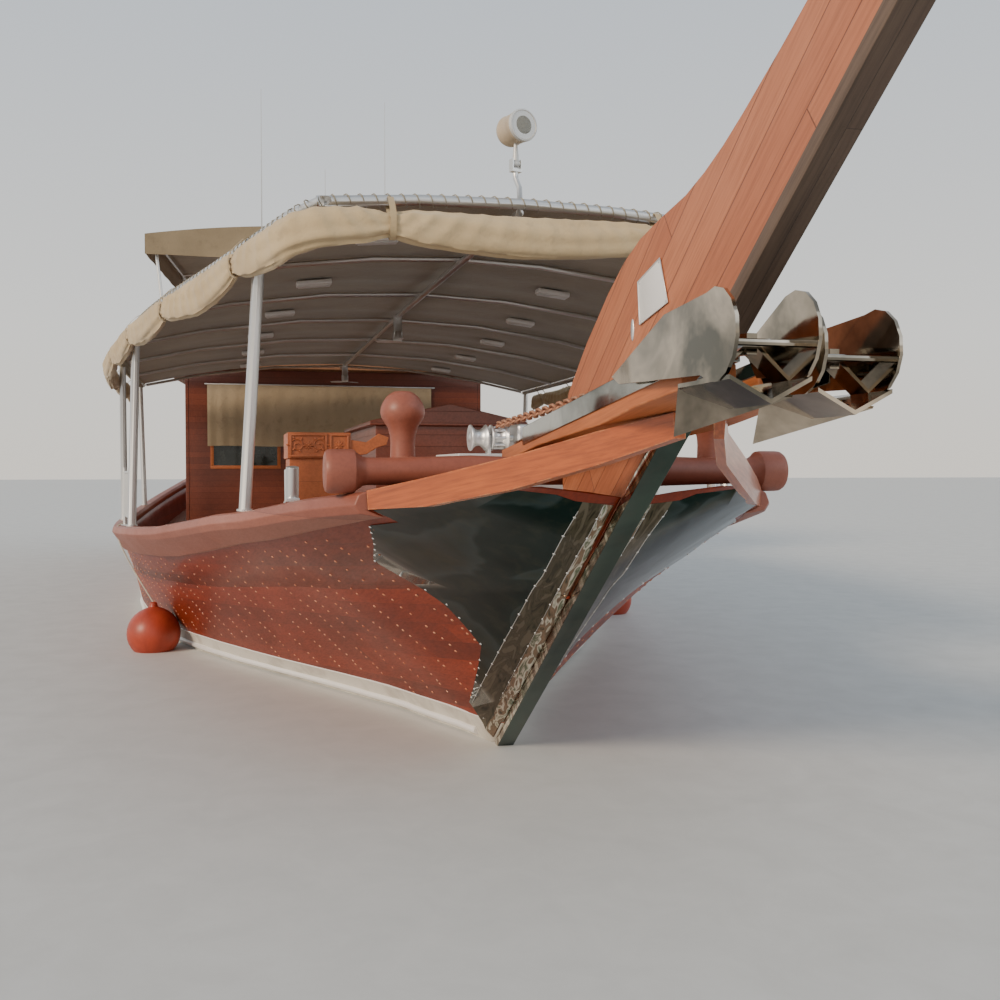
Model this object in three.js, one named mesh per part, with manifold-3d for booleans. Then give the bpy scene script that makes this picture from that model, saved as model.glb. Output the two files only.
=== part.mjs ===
// A Gulf motor dhow, about 28 m overall: planked hull with a raking stem and a tall plank prow,
// foredeck ground tackle, a long awning amidships, an aft deckhouse and an upper deck.
// Millimetres. +X is the bow, +Y is port, +Z is up. The origin is amidships on the waterline.
import * as THREE from 'three';
import { mergeVertices } from 'three/addons/utils/BufferGeometryUtils.js';
import Module from 'manifold-3d';

const wasm = await Module();
wasm.setup();

// Driving dimensions. "Ahead" is the distance forward of the stem's foot at the waterline.
const STEM_FOOT_X = 10500;
const GAP = 0.3;
const STEM_SLOPE = 0.718;
const STEM_HALF = 55;
const KEEL_HALF = 75;
const BULWARK_HEIGHT = 480;
const BULWARK_THICK = 90;
const RAIL_HEIGHT = 110;
const PLATING_THICK = 10;
const SHEATH_THICK = 8;

const BEAM_AHEAD = 1470;
const BEAM_HEIGHT = 2085;
const BEAM_HALF_LENGTH = 1475;

const AWNING_FRONT = 420;
const AWNING_BACK = -12350;
const AWNING_TUBE_RADIUS = 38;
const PURLIN_RADIUS = 24;
const PURLIN_SPACING = 2100;
const POST_RADIUS = 45;
const CLOTH_THICK = 16;

const CABIN_FRONT = -12900;
const CABIN_BACK = -19900;
const CABIN_FRONT_HALF = 2850;
const CABIN_BACK_HALF = 2250;
const CABIN_WALL = 60;
const UPPER_DECK_UNDERSIDE = 3980;
const UPPER_DECK_THICK = 120;
const UPPER_DECK_FRONT = -12500;
const UPPER_DECK_BACK = -20300;
const UPPER_DECK_FRONT_HALF = 3420;
const UPPER_DECK_BACK_HALF = 2700;

const PROPELLER_AHEAD = -19880;
const PROPELLER_HEIGHT = -1170;
const PROPELLER_RADIUS = 380;
const PITCH = 0.9;
const RUDDER_AHEAD = -20420;
const KEEL_UNDERSIDE = -1700;
const HEEL_TOP = -1610;

const PORT = 1;
const STARBOARD = -1;

// The hull's lines. rail: half breadth at the bulwark's top. sheer: height of that top.
// water: half breadth at the waterline. bottom: height of the planking's lower edge.
// bilge: how round the frame is below water. flare: how hollow it is above. cant: rake of the frame.
const HULL_LINES = [
  { ahead: -21200, rail: 2560, sheer: 2080, water: 1750, bottom: -430, bilge: 1.5, flare: 1.00,
    cant: -0.40 },
  { ahead: -18500, rail: 3050, sheer: 1760, water: 2780, bottom: -950, bilge: 1.9, flare: 1.10, cant: 0 },
  { ahead: -15000, rail: 3450, sheer: 1470, water: 3250, bottom: -1230, bilge: 2.3, flare: 1.15, cant: 0 },
  { ahead: -11000, rail: 3600, sheer: 1290, water: 3400, bottom: -1300, bilge: 2.6, flare: 1.20, cant: 0 },
  { ahead: -9000, rail: 3590, sheer: 1250, water: 3330, bottom: -1300, bilge: 2.5, flare: 1.20, cant: 0 },
  { ahead: -6000, rail: 3350, sheer: 1300, water: 2780, bottom: -1290, bilge: 2.1, flare: 1.10, cant: 0 },
  { ahead: -4200, rail: 3060, sheer: 1370, water: 2020, bottom: -1230, bilge: 1.7, flare: 1.05, cant: 0 },
  { ahead: -2700, rail: 2650, sheer: 1450, water: 1230, bottom: -1080, bilge: 1.3, flare: 1.10, cant: 0 },
  { ahead: -1500, rail: 2270, sheer: 1570, water: 600, bottom: -830, bilge: 1.1, flare: 1.25, cant: 0 },
  { ahead: -800, rail: 2070, sheer: 1640, water: 330, bottom: -520, bilge: 1.0, flare: 1.30, cant: 0 },
  { ahead: -120, rail: 1850, sheer: 1690, water: 75, bottom: 0, bilge: 1.0, flare: 1.30, cant: 0 },
  { ahead: 850, rail: 1570, sheer: 1790, water: 75, bottom: 696, bilge: 1.0, flare: 1.30, cant: 0 },
  { ahead: 1400, rail: 1350, sheer: 1840, water: 75, bottom: 1091, bilge: 1.0, flare: 1.25, cant: 0 },
  { ahead: 2060, rail: 950, sheer: 1905, water: 75, bottom: 1565, bilge: 1.0, flare: 1.15, cant: 0 },
  { ahead: 2600, rail: 580, sheer: 2010, water: 75, bottom: 1953, bilge: 1.0, flare: 1.00, cant: 0 },
];

// Where the frames stand, aft to forward, and the two that only the bulwark reaches.
const FRAMES = [
  -21200, -20400, -19500, -18500, -17000, -15500, -14000, -12500, -11000, -9500, -8000, -7000, -6000,
  -5000, -4200, -3400, -2700, -2000, -1400, -900, -500, -120, 300, 700, 1100, 1400, 1750,
];
const BOW_FRAMES = [2200, 2600];

// The keel's underside and the stem's face below the water.
const KEEL_LINE = [
  { ahead: -20520, height: KEEL_UNDERSIDE },
  { ahead: -7000, height: KEEL_UNDERSIDE },
  { ahead: -4200, height: -1540 },
  { ahead: -2700, height: -1350 },
  { ahead: -1800, height: -1150 },
  { ahead: -1200, height: -930 },
  { ahead: -800, height: -680 },
  { ahead: -400, height: -330 },
  { ahead: -120, height: -86 },
  { ahead: 0, height: 0 },
];

// How deep the wale hangs below the rail.
const WALE = [
  { ahead: -3000, depth: 190 },
  { ahead: 1000, depth: 75 },
  { ahead: 1620, depth: 40 },
];

// The awning's side edge.
const AWNING_EDGE = [
  { ahead: -12700, half: 3600, edge: 3600, ridge: 4050 },
  { ahead: -9000, half: 3560, edge: 3600, ridge: 4050 },
  { ahead: -6700, half: 3410, edge: 3600, ridge: 4050 },
  { ahead: -4300, half: 2980, edge: 3650, ridge: 4040 },
  { ahead: -2800, half: 2600, edge: 3700, ridge: 4030 },
  { ahead: -1300, half: 2080, edge: 3780, ridge: 4010 },
  { ahead: 140, half: 1600, edge: 3860, ridge: 3985 },
  { ahead: 420, half: 1400, edge: 3910, ridge: 3980 },
];
const POSTS = [-400, -4400, -8300, -12200];

// The searchlight. pivot: height of its tilt pin. fork: half the gap in the fork. yaw: how far it faces
// to port.
const LAMP = { ahead: 300, height: 4545, radius: 112, pivot: 4295, fork: 30,
  yaw: THREE.MathUtils.degToRad(17.8) };

// Shape helpers.

const at = (ahead) => STEM_FOOT_X + ahead;
const point = (ahead, y, z) => new THREE.Vector3(at(ahead), y, z);

// A straight-line reading of one column of a table that runs along the boat.
function straight(table, column) {
  return (ahead) => {
    const rows = [...table].sort((a, b) => a.ahead - b.ahead);
    const next = rows.findIndex((row) => row.ahead >= ahead);
    if (next === 0) return rows[0][column];
    if (next < 0) return rows[rows.length - 1][column];
    const a = rows[next - 1];
    const b = rows[next];
    return a[column] + ((b[column] - a[column]) * (ahead - a.ahead)) / (b.ahead - a.ahead);
  };
}

// A smooth reading of one column, through every row.
function smooth(table, column) {
  const rows = [...table].sort((a, b) => a.ahead - b.ahead);
  const slope = rows.map((row, i) => {
    const a = rows[Math.max(i - 1, 0)];
    const b = rows[Math.min(i + 1, rows.length - 1)];
    return (b[column] - a[column]) / (b.ahead - a.ahead);
  });
  return (ahead) => {
    let i = rows.findIndex((row) => row.ahead >= ahead);
    if (i < 0) i = rows.length - 1;
    i = Math.max(i, 1);
    const a = rows[i - 1];
    const b = rows[i];
    const span = b.ahead - a.ahead;
    const t = THREE.MathUtils.clamp((ahead - a.ahead) / span, 0, 1);
    const t2 = t * t;
    const t3 = t2 * t;
    return (
      (2 * t3 - 3 * t2 + 1) * a[column] +
      (t3 - 2 * t2 + t) * span * slope[i - 1] +
      (3 * t2 - 2 * t3) * b[column] +
      (t3 - t2) * span * slope[i]
    );
  };
}

// A geometry with shared vertices and no slivers, facing outwards.
function tidy(geometry) {
  const bare = geometry.clone();
  bare.deleteAttribute('normal');
  bare.deleteAttribute('uv');
  const merged = mergeVertices(bare, 1e-3);
  const position = merged.attributes.position;
  const index = merged.index.array;
  const kept = [];
  const a = new THREE.Vector3();
  const b = new THREE.Vector3();
  const c = new THREE.Vector3();
  let volume = 0;
  for (let i = 0; i < index.length; i += 3) {
    const [p, q, r] = [index[i], index[i + 1], index[i + 2]];
    if (p === q || q === r || p === r) continue;
    kept.push(p, q, r);
    a.fromBufferAttribute(position, p);
    b.fromBufferAttribute(position, q);
    c.fromBufferAttribute(position, r);
    volume += a.dot(b.cross(c));
  }
  merged.setIndex(volume < 0 ? kept.reverse() : kept);
  return merged;
}

function solid(geometry) {
  const clean = tidy(geometry);
  return new wasm.Manifold(
    new wasm.Mesh({
      numProp: 3,
      vertProperties: Float32Array.from(clean.attributes.position.array),
      triVerts: Uint32Array.from(clean.index.array),
    }),
  );
}

function geometryOf(shape) {
  const mesh = shape.getMesh();
  const geometry = new THREE.BufferGeometry();
  geometry.setAttribute('position', new THREE.BufferAttribute(Float32Array.from(mesh.vertProperties), 3));
  geometry.setIndex(Array.from(mesh.triVerts));
  geometry.computeVertexNormals();
  return geometry;
}

const fuse = (...geometries) => geometries.map(solid).reduce((sum, next) => sum.add(next));
const cut = (shape, ...tools) => tools.map(solid).reduce((left, tool) => left.subtract(tool), shape);

// Flat triangles that close one ring of points, in the ring's own order.
function capFaces(ring) {
  const normal = new THREE.Vector3();
  ring.forEach((p, i) => {
    const q = ring[(i + 1) % ring.length];
    normal.x += (p.y - q.y) * (p.z + q.z);
    normal.y += (p.z - q.z) * (p.x + q.x);
    normal.z += (p.x - q.x) * (p.y + q.y);
  });
  const size = [Math.abs(normal.x), Math.abs(normal.y), Math.abs(normal.z)];
  const dropped = size.indexOf(Math.max(...size));
  const flat = ring.map((p) => {
    if (dropped === 0) return new THREE.Vector2(p.y, p.z);
    if (dropped === 1) return new THREE.Vector2(p.z, p.x);
    return new THREE.Vector2(p.x, p.y);
  });
  const faces = THREE.ShapeUtils.triangulateShape(flat, []);
  if (faces.length !== ring.length - 2) return pairedFaces(ring.length);
  const covered = faces.reduce((sum, face) => sum + THREE.ShapeUtils.area(face.map((i) => flat[i])), 0);
  const agrees = Math.sign(covered) === Math.sign(THREE.ShapeUtils.area(flat));
  return agrees ? faces : faces.map(([i, j, k]) => [i, k, j]);
}

// A cap for a ring whose second half runs back beside its first, where some points lie in line.
function pairedFaces(count) {
  const faces = [];
  for (let i = 0; i + 1 < count - 1 - i; i += 1) {
    faces.push([i, i + 1, count - 1 - i]);
    if (i + 1 < count - 2 - i) faces.push([i + 1, count - 2 - i, count - 1 - i]);
  }
  return faces;
}

// A closed skin through rings of points that all have the same count.
function loft(rings) {
  const count = rings[0].length;
  const index = [];
  for (let r = 0; r + 1 < rings.length; r += 1) {
    for (let i = 0; i < count; i += 1) {
      const j = (i + 1) % count;
      const [a, b, c, d] = [r * count + i, r * count + j, (r + 1) * count + i, (r + 1) * count + j];
      const shorter = rings[r][j].distanceTo(rings[r + 1][i]) <= rings[r][i].distanceTo(rings[r + 1][j]);
      if (shorter) index.push(a, b, c, b, d, c);
      else index.push(a, b, d, a, d, c);
    }
  }
  const last = (rings.length - 1) * count;
  capFaces(rings[0]).forEach(([i, j, k]) => index.push(i, k, j));
  capFaces(rings[rings.length - 1]).forEach(([i, j, k]) => index.push(last + i, last + j, last + k));
  const geometry = new THREE.BufferGeometry();
  const numbers = rings.flat().flatMap((p) => [p.x, p.y, p.z]);
  geometry.setAttribute('position', new THREE.Float32BufferAttribute(numbers, 3));
  geometry.setIndex(index);
  return tidy(geometry);
}

function outlineShape(corners) {
  return new THREE.Shape(corners.map(([u, v]) => new THREE.Vector2(u, v)));
}

function extruded(corners, depth) {
  return new THREE.ExtrudeGeometry(outlineShape(corners), { depth, bevelEnabled: false, curveSegments: 6 });
}

// A plate cut to a side view: corners are [ahead, height], between two values of y.
function sidePlate(corners, y0, y1) {
  const basis = new THREE.Matrix4().makeBasis(
    new THREE.Vector3(1, 0, 0), new THREE.Vector3(0, 0, 1), new THREE.Vector3(0, -1, 0));
  const [low, high] = [Math.min(y0, y1), Math.max(y0, y1)];
  return extruded(corners.map(([ahead, z]) => [at(ahead), z]),
    high - low).applyMatrix4(basis).translate(0, high, 0);
}

// A plate cut to a plan view: corners are [ahead, y], between two heights.
function planPlate(corners, z0, z1) {
  return extruded(corners.map(([ahead, y]) => [at(ahead), y]), z1 - z0).translate(0, 0, z0);
}

// A plate cut to a front view: corners are [y, height], between two distances ahead.
function crossPlate(corners, ahead0, ahead1) {
  const basis = new THREE.Matrix4().makeBasis(
    new THREE.Vector3(0, 1, 0), new THREE.Vector3(0, 0, 1), new THREE.Vector3(1, 0, 0));
  return extruded(corners, ahead1 - ahead0).applyMatrix4(basis).translate(at(ahead0), 0, 0);
}

function box(ahead0, ahead1, y0, y1, z0, z1) {
  const geometry = new THREE.BoxGeometry(Math.abs(ahead1 - ahead0), Math.abs(y1 - y0), Math.abs(z1 - z0));
  return geometry.translate(at((ahead0 + ahead1) / 2), (y0 + y1) / 2, (z0 + z1) / 2);
}

// A geometry made along the boat, turned about the searchlight's post to the way that it faces.
function aimed(geometry) {
  return geometry.translate(-at(LAMP.ahead), 0, 0).rotateZ(LAMP.yaw).translate(at(LAMP.ahead), 0, 0);
}

// A round bar between two points.
function rod(from, to, radius, sides = 10, endRadius = radius) {
  const along = new THREE.Vector3().subVectors(to, from);
  const turn = new THREE.Quaternion().setFromUnitVectors(new THREE.Vector3(0, 1, 0),
    along.clone().normalize());
  const middle = new THREE.Vector3().addVectors(from, to).multiplyScalar(0.5);
  return new THREE.CylinderGeometry(endRadius, radius, along.length(), sides)
    .applyMatrix4(new THREE.Matrix4().makeRotationFromQuaternion(turn))
    .translate(middle.x, middle.y, middle.z);
}

// A bar that follows a run of points, mitred at each bend, round or flattened.
function bentBar(points, wide, sides = 8, tall = wide) {
  const rings = points.map((p, i) => {
    const before = points[Math.max(i - 1, 0)];
    const after = points[Math.min(i + 1, points.length - 1)];
    const along = new THREE.Vector3().subVectors(after, before).normalize();
    const upright = Math.abs(along.z) > 0.9 ? new THREE.Vector3(1, 0, 0) : new THREE.Vector3(0, 0, 1);
    const across = new THREE.Vector3().crossVectors(along, upright).normalize();
    const over = new THREE.Vector3().crossVectors(across, along);
    return Array.from({ length: sides }, (_, k) => {
      const angle = ((k + 0.5) / sides) * 2 * Math.PI;
      return p.clone().addScaledVector(across, wide * Math.cos(angle)).addScaledVector(over,
        tall * Math.sin(angle));
    });
  });
  return loft(rings);
}

// A turned piece. Rows are [radius, height], from the axis to the axis.
function turned(profile, sides = 16) {
  return new THREE.LatheGeometry(profile.map(([r, h]) => new THREE.Vector2(r, h)),
    sides).rotateX(Math.PI / 2);
}

// Finishes.

const FINISHES = {
  varnished_planking: { color: 0x8c3b1e, roughness: 0.25, metalness: 0 },
  orange_timber: { color: 0xb5602f, roughness: 0.35, metalness: 0 },
  painted_rail: { color: 0x9a5844, roughness: 0.5, metalness: 0 },
  deck_boards: { color: 0x8a5a3c, roughness: 0.6, metalness: 0 },
  keel_timber: { color: 0x4d2a1f, roughness: 0.7, metalness: 0 },
  polished_steel: { color: 0xc8c8c4, roughness: 0.08, metalness: 1 },
  tube_steel: { color: 0xb9b8b2, roughness: 0.2, metalness: 1 },
  rusty_chain: { color: 0x7a4028, roughness: 0.8, metalness: 0.4 },
  awning_cloth: { color: 0xa18f74, roughness: 0.9, metalness: 0 },
  cabin_panel: { color: 0x8a3f26, roughness: 0.4, metalness: 0 },
  white_paint: { color: 0xd9d4cc, roughness: 0.5, metalness: 0 },
  bronze: { color: 0xa8824a, roughness: 0.35, metalness: 1 },
  fender_red: { color: 0xb4472e, roughness: 0.45, metalness: 0 },
  lamp_grey: { color: 0x9a9a94, roughness: 0.4, metalness: 0.2 },
};

const boat = new THREE.Group();

function piece(name, shape, finish, place = null) {
  const geometry = shape instanceof THREE.BufferGeometry ? tidy(shape) : geometryOf(shape);
  const mesh = new THREE.Mesh(geometry, new THREE.MeshStandardMaterial(FINISHES[finish]));
  mesh.name = name;
  if (place) mesh.position.copy(place);
  boat.add(mesh);
}

const sideName = (stem, side) => `${stem}_${side === PORT ? 'port' : 'starboard'}`;

// Hull lines.

const lines = Object.fromEntries(
  ['rail', 'sheer', 'water', 'bottom', 'bilge', 'flare', 'cant'].map((column) => [column,
    smooth(HULL_LINES, column)]));

lines.cant = straight(HULL_LINES, 'cant');
const waleDepth = straight(WALE, 'depth');
const deckAtFrame = (ahead) => lines.sheer(ahead) - BULWARK_HEIGHT;

// A height that runs straight from frame to frame, where the raked frames really stand.
function alongFrames(heightAt, valueAt = heightAt) {
  const table = [...FRAMES, ...BOW_FRAMES].map((frame) => ({
    ahead: frame + lines.cant(frame) * heightAt(frame),
    value: valueAt(frame),
  }));
  return { table, read: straight(table, 'value') };
}
const deckLine = alongFrames(deckAtFrame);
const deckHeight = deckLine.read;
const railTop = alongFrames((frame) => lines.sheer(frame) + RAIL_HEIGHT).read;
const railHalf = alongFrames((frame) => lines.sheer(frame), (frame) => lines.rail(frame)).read;
const hullBottom = alongFrames((frame) => lines.bottom(frame));

function halfBreadth(ahead, height) {
  const bottom = lines.bottom(ahead);
  const rail = lines.rail(ahead);
  const sheer = lines.sheer(ahead);
  if (bottom >= 0) {
    const up = Math.max(0, (height - bottom) / (sheer - bottom));
    return KEEL_HALF + (rail - KEEL_HALF) * up ** lines.flare(ahead);
  }
  const water = lines.water(ahead);
  if (height < 0) {
    const up = Math.max(0, 1 - height / bottom);
    return KEEL_HALF + (water - KEEL_HALF) * (1 - (1 - up) ** lines.bilge(ahead));
  }
  return water + (rail - water) * (height / sheer) ** lines.flare(ahead);
}

function framePoint(ahead, y, z) {
  return new THREE.Vector3(at(ahead) + lines.cant(ahead) * z, y, z);
}

// Hull, keel, stem and prow.

const keelHeight = straight(KEEL_LINE, 'height');

// The heights that the hull's and the bulwark's corners share at one frame.
const HULL_LEVELS = 9;
function shellHeights(ahead) {
  const bottom = lines.bottom(ahead);
  const sheer = lines.sheer(ahead);
  const deck = Math.max(deckAtFrame(ahead), bottom);
  const hull = Array.from({ length: HULL_LEVELS + 1 },
    (_, level) => bottom + ((deck - bottom) * level) / HULL_LEVELS);
  return { hull, bulwark: [deck, Math.max(sheer - waleDepth(ahead), (deck + sheer) / 2), sheer] };
}

function ringThrough(ahead, heights, swell = 0) {
  const port = heights.map((z) => framePoint(ahead, halfBreadth(ahead, z) + swell, z));
  const starboard = port.map((p) => new THREE.Vector3(p.x, -p.y, p.z)).reverse();
  return [...port, ...starboard];
}

const hullRing = (ahead) => ringThrough(ahead, shellHeights(ahead).hull);

function shellRing(ahead, swell, rise = 0) {
  const { hull, bulwark } = shellHeights(ahead);
  return ringThrough(ahead, [...hull, bulwark[1], bulwark[2] + rise], swell);
}

function buildHull() {
  piece('hull', loft(FRAMES.map(hullRing)), 'varnished_planking');
}

const FOREFOOT = -1200;
const APERTURE_FRONT = -19560;
const STEM_HEAD = 1750;

function buildKeel() {
  const under = KEEL_LINE.filter((row) => row.ahead <= FOREFOOT).map((row) => [row.ahead, row.height]);
  const upper = [[FOREFOOT, underHull(FOREFOOT)], ...underHullBetween(APERTURE_FRONT, FOREFOOT),
    [APERTURE_FRONT, underHull(APERTURE_FRONT)]];
  const heel = [[APERTURE_FRONT, HEEL_TOP], [-20520, HEEL_TOP]];
  const deadwood = sidePlate([...under, ...upper, ...heel], -KEEL_HALF, KEEL_HALF);
  const shaft = rod(point(-18900, 0, PROPELLER_HEIGHT), point(-19799.5, 0, PROPELLER_HEIGHT), 95, 14, 80);
  piece('keel', fuse(deadwood, shaft), 'keel_timber');
}

// The planking's lower edge, less the working gap.
const underHull = (ahead) => hullBottom.read(ahead) - GAP;
const underHullBetween = (from, to) => hullBottom.table
  .filter((row) => row.ahead > from && row.ahead < to)
  .map((row) => [row.ahead, row.value - GAP])
  .reverse();

function buildStem() {
  const face = KEEL_LINE.filter((row) => row.ahead > FOREFOOT).map((row) => [row.ahead, row.height]);
  const outline = [
    [FOREFOOT + GAP, keelHeight(FOREFOOT)],
    ...face,
    [STEM_HEAD, STEM_HEAD * STEM_SLOPE],
    [STEM_HEAD, underHull(STEM_HEAD)],
    ...underHullBetween(FOREFOOT, STEM_HEAD),
    [FOREFOOT + GAP, underHull(FOREFOOT + GAP)],
  ];
  piece('stem', sidePlate(outline, -STEM_HALF, STEM_HALF), 'keel_timber');
}

// The prow's back edge, from its heel on the deck up to the tip.
const PROW_BACK = [
  [1600, 2200], [1640, 2420], [1710, 2550], [2030, 2800], [2390, 3030], [2620, 3150], [2830, 3220],
    [3070, 3262],
  [3360, 3300], [3550, 3350], [3720, 3410], [3890, 3485], [4180, 3625], [4390, 3735], [5480, 4360],
];
const PROW_TIP = [[5610, 4395], [5760, 4350], [5850, 4250], [5840, 4193]];

function prowOutline() {
  const deck = (ahead) => [ahead, deckHeight(ahead) + GAP];
  return [
    [STEM_HEAD + GAP, STEM_HEAD * STEM_SLOPE],
    ...[...PROW_TIP].reverse(),
    ...[...PROW_BACK].reverse(),
    deck(1600), deck(STEM_HEAD),
    [STEM_HEAD + GAP, deckHeight(STEM_HEAD) + GAP],
  ];
}

function buildProw() {
  piece('prow_blade', sidePlate(prowOutline(), -STEM_HALF, STEM_HALF), 'orange_timber');
}

// A steel channel bent round the stem's and the prow's leading edge.
function buildSheath() {
  const lean = Math.hypot(1, STEM_SLOPE);
  const drop = SHEATH_THICK * lean;
  const depth = 62 * lean;
  const top = 5790;
  const half = STEM_HALF + GAP + SHEATH_THICK;
  const outer = sidePlate(
    [[-60, -60 * STEM_SLOPE - drop], [top, top * STEM_SLOPE - drop], [top, top * STEM_SLOPE + depth],
      [-60, -60 * STEM_SLOPE + depth]], -half, half);
  const inner = sidePlate(
    [[-600, -600 * STEM_SLOPE - GAP], [top + 600, (top + 600) * STEM_SLOPE - GAP],
      [top + 600, (top + 600) * STEM_SLOPE + 400], [-600, -600 * STEM_SLOPE + 400]],
    -STEM_HALF - GAP, STEM_HALF + GAP);
  piece('stem_sheath', solid(outer).subtract(solid(inner)), 'polished_steel');
}

// Polished plates that wrap the bow planking on each side of the stem.
const PLATING_AFT = [[1400, 1760], [1150, 1640], [860, 1500], [840, 1200], [680, 880], [-60, 330],
  [-100, 100]];

function buildPlating() {
  const frames = [-500, -120, 300, 700, 1100, 1400, 1750, 2200, 2600];
  const skin = (swell) => solid(loft(frames.map((ahead) => shellRing(ahead, swell))));
  const shell = skin(PLATING_THICK).subtract(skin(1));
  const low = (ahead) => [ahead, ahead * STEM_SLOPE + 80];
  const region = [...PLATING_AFT, low(-40), low(2540), [2540, 2300], [1645, 2300], [1645, 1790]];
  [STARBOARD, PORT].forEach((side) => {
    const window = solid(sidePlate(region, side * 70, side * 2500));
    piece(sideName('bow_plating', side), shell.intersect(window), 'polished_steel');
  });
}

// Bulwarks, rails and the planks that run from the cross beam to the stem.

function bulwarkRing(ahead, side) {
  const [base, middle, top] = shellHeights(ahead).bulwark;
  const heights = [base + GAP, middle, top];
  const inner = (z) => Math.max(halfBreadth(ahead, z) - BULWARK_THICK, 60);
  const outside = heights.map((z) => framePoint(ahead, side * halfBreadth(ahead, z), z));
  const inside = [...heights].reverse().map((z) => framePoint(ahead, side * inner(z), z));
  return [...outside, ...inside];
}

function buildBulwark(side) {
  const frames = [...FRAMES, ...BOW_FRAMES];
  piece(sideName('bulwark', side), loft(frames.map((ahead) => bulwarkRing(ahead, side))),
    'varnished_planking');
}

function buildSternBulwark() {
  const ahead = FRAMES[0];
  const ring = (z, rise, inset) => {
    const half = halfBreadth(ahead, z) - inset;
    const aft = at(ahead) + lines.cant(ahead) * z;
    return [[aft, half], [aft, -half], [aft + BULWARK_THICK, -half], [aft + BULWARK_THICK, half]].map(
      ([x, y]) => new THREE.Vector3(x, y, z + rise));
  };
  const base = deckAtFrame(ahead);
  const top = lines.sheer(ahead);
  const rings = [ring(base, GAP, 98), ring(top - 16, 0, 98), ring(top - 16, 0, 134), ring(top,
    RAIL_HEIGHT, 134)];
  piece('stern_bulwark', loft(rings), 'varnished_planking');
}

function railRing(ahead, side) {
  const sheer = lines.sheer(ahead);
  const rail = lines.rail(ahead);
  const low = shellHeights(ahead).bulwark[1];
  const lowHalf = halfBreadth(ahead, low) + 1.5;
  const profile = [
    [rail - 120, sheer + GAP], [rail + 1.5, sheer + GAP], [lowHalf, low], [lowHalf + 42, low],
    [rail + 55, sheer - 20], [rail + 88, sheer + 30], [rail + 62, sheer + 92], [rail + 20,
      sheer + RAIL_HEIGHT],
    [rail - 90, sheer + RAIL_HEIGHT], [rail - 126, sheer + 70],
  ];
  return profile.map(([y, z]) => framePoint(ahead, side * y, z));
}

function buildRail(side) {
  const frames = [...FRAMES.filter((ahead) => ahead < 1500), 1620];
  const seat = rod(point(BEAM_AHEAD, -2000, BEAM_HEIGHT), point(BEAM_AHEAD, 2000, BEAM_HEIGHT), 131, 32);
  const rail = cut(solid(loft(frames.map((ahead) => railRing(ahead, side)))), seat);
  piece(sideName('rail', side), rail, 'painted_rail');
}

// Stations of the fore plank. half: its outer face. top and low: its edges.
const FORE_PLANK = [
  { ahead: 1640, half: 1240, top: 1975, low: 1865 },
  { ahead: 2060, half: 985, top: 2050, low: 1895 },
  { ahead: 2580, half: 640, top: 2160, low: 1995 },
  { ahead: 3000, half: 330, top: 2275, low: 2118 },
  { ahead: 3400, half: 118, top: 2345, low: 2232 },
];
const FORE_PLANK_THICK = 55;

function buildForePlank(side) {
  const rings = FORE_PLANK.map((row) => {
    const inner = Math.max(row.half - FORE_PLANK_THICK, 66);
    const profile = [[row.half, row.low], [row.half + 8, row.top], [inner, row.top], [inner, row.low]];
    return profile.map(([y, z]) => point(row.ahead, side * y, z));
  });
  const frames = [...FRAMES.slice(-4), ...BOW_FRAMES];
  const clear = solid(loft(frames.map((ahead) => shellRing(ahead, PLATING_THICK + 2, 1))));
  piece(sideName('fore_plank', side), solid(loft(rings)).subtract(clear), 'orange_timber');
}

// The cross beam with its turned ends and the two bitts that stand on it.

function buildCrossBeam() {
  const profile = [
    [0, -BEAM_HALF_LENGTH], [118, -BEAM_HALF_LENGTH], [130, -1440], [130, -1300], [100, -1270], [80, -1245],
    [82, -1100], [96, -600], [84, -300], [84, 300], [96, 600], [82, 1100], [80, 1245], [100, 1270],
    [130, 1300], [130, 1440], [118, BEAM_HALF_LENGTH], [0, BEAM_HALF_LENGTH],
  ];
  const log = turned(profile, 16).rotateX(Math.PI / 2).translate(at(BEAM_AHEAD), 0, BEAM_HEIGHT);
  const bitt = (side) => turned([
    [0, 0], [78, 0], [74, 130], [92, 215], [128, 262], [134, 300], [128, 345], [96, 395], [60, 425], [0,
      432],
  ], 14).translate(at(1400), side * 1000, BEAM_HEIGHT + 50);
  piece('cross_beam', fuse(log, bitt(STARBOARD), bitt(PORT)), 'painted_rail');
}

// Foredeck platform, windlass and chute beams.

const PLATFORM_TOP = 1800;
const BED_TOP = 2200;
const DRUM_RADIUS = 92;

function buildPlatform() {
  const half = (ahead) => railHalf(ahead) - 330;
  const outline = [
    [100, -half(100)], [1100, -half(1100)], [1900, -250], [1900, -66], [900, -66], [900, 66], [1900, 66],
    [1900, 250], [1100, half(1100)], [100, half(100)],
  ];
  const slab = planPlate(outline, PLATFORM_TOP - 60, PLATFORM_TOP);
  const legs = [-1, 1].flatMap((side) => [
    box(150, 250, side * 900, side * 800, deckHeight(250) + GAP, PLATFORM_TOP - 30),
    box(800, 900, side * 560, side * 460, deckHeight(900) + GAP, PLATFORM_TOP - 30),
  ]);
  piece('foredeck_platform', fuse(slab, ...legs), 'deck_boards');
}

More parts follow.
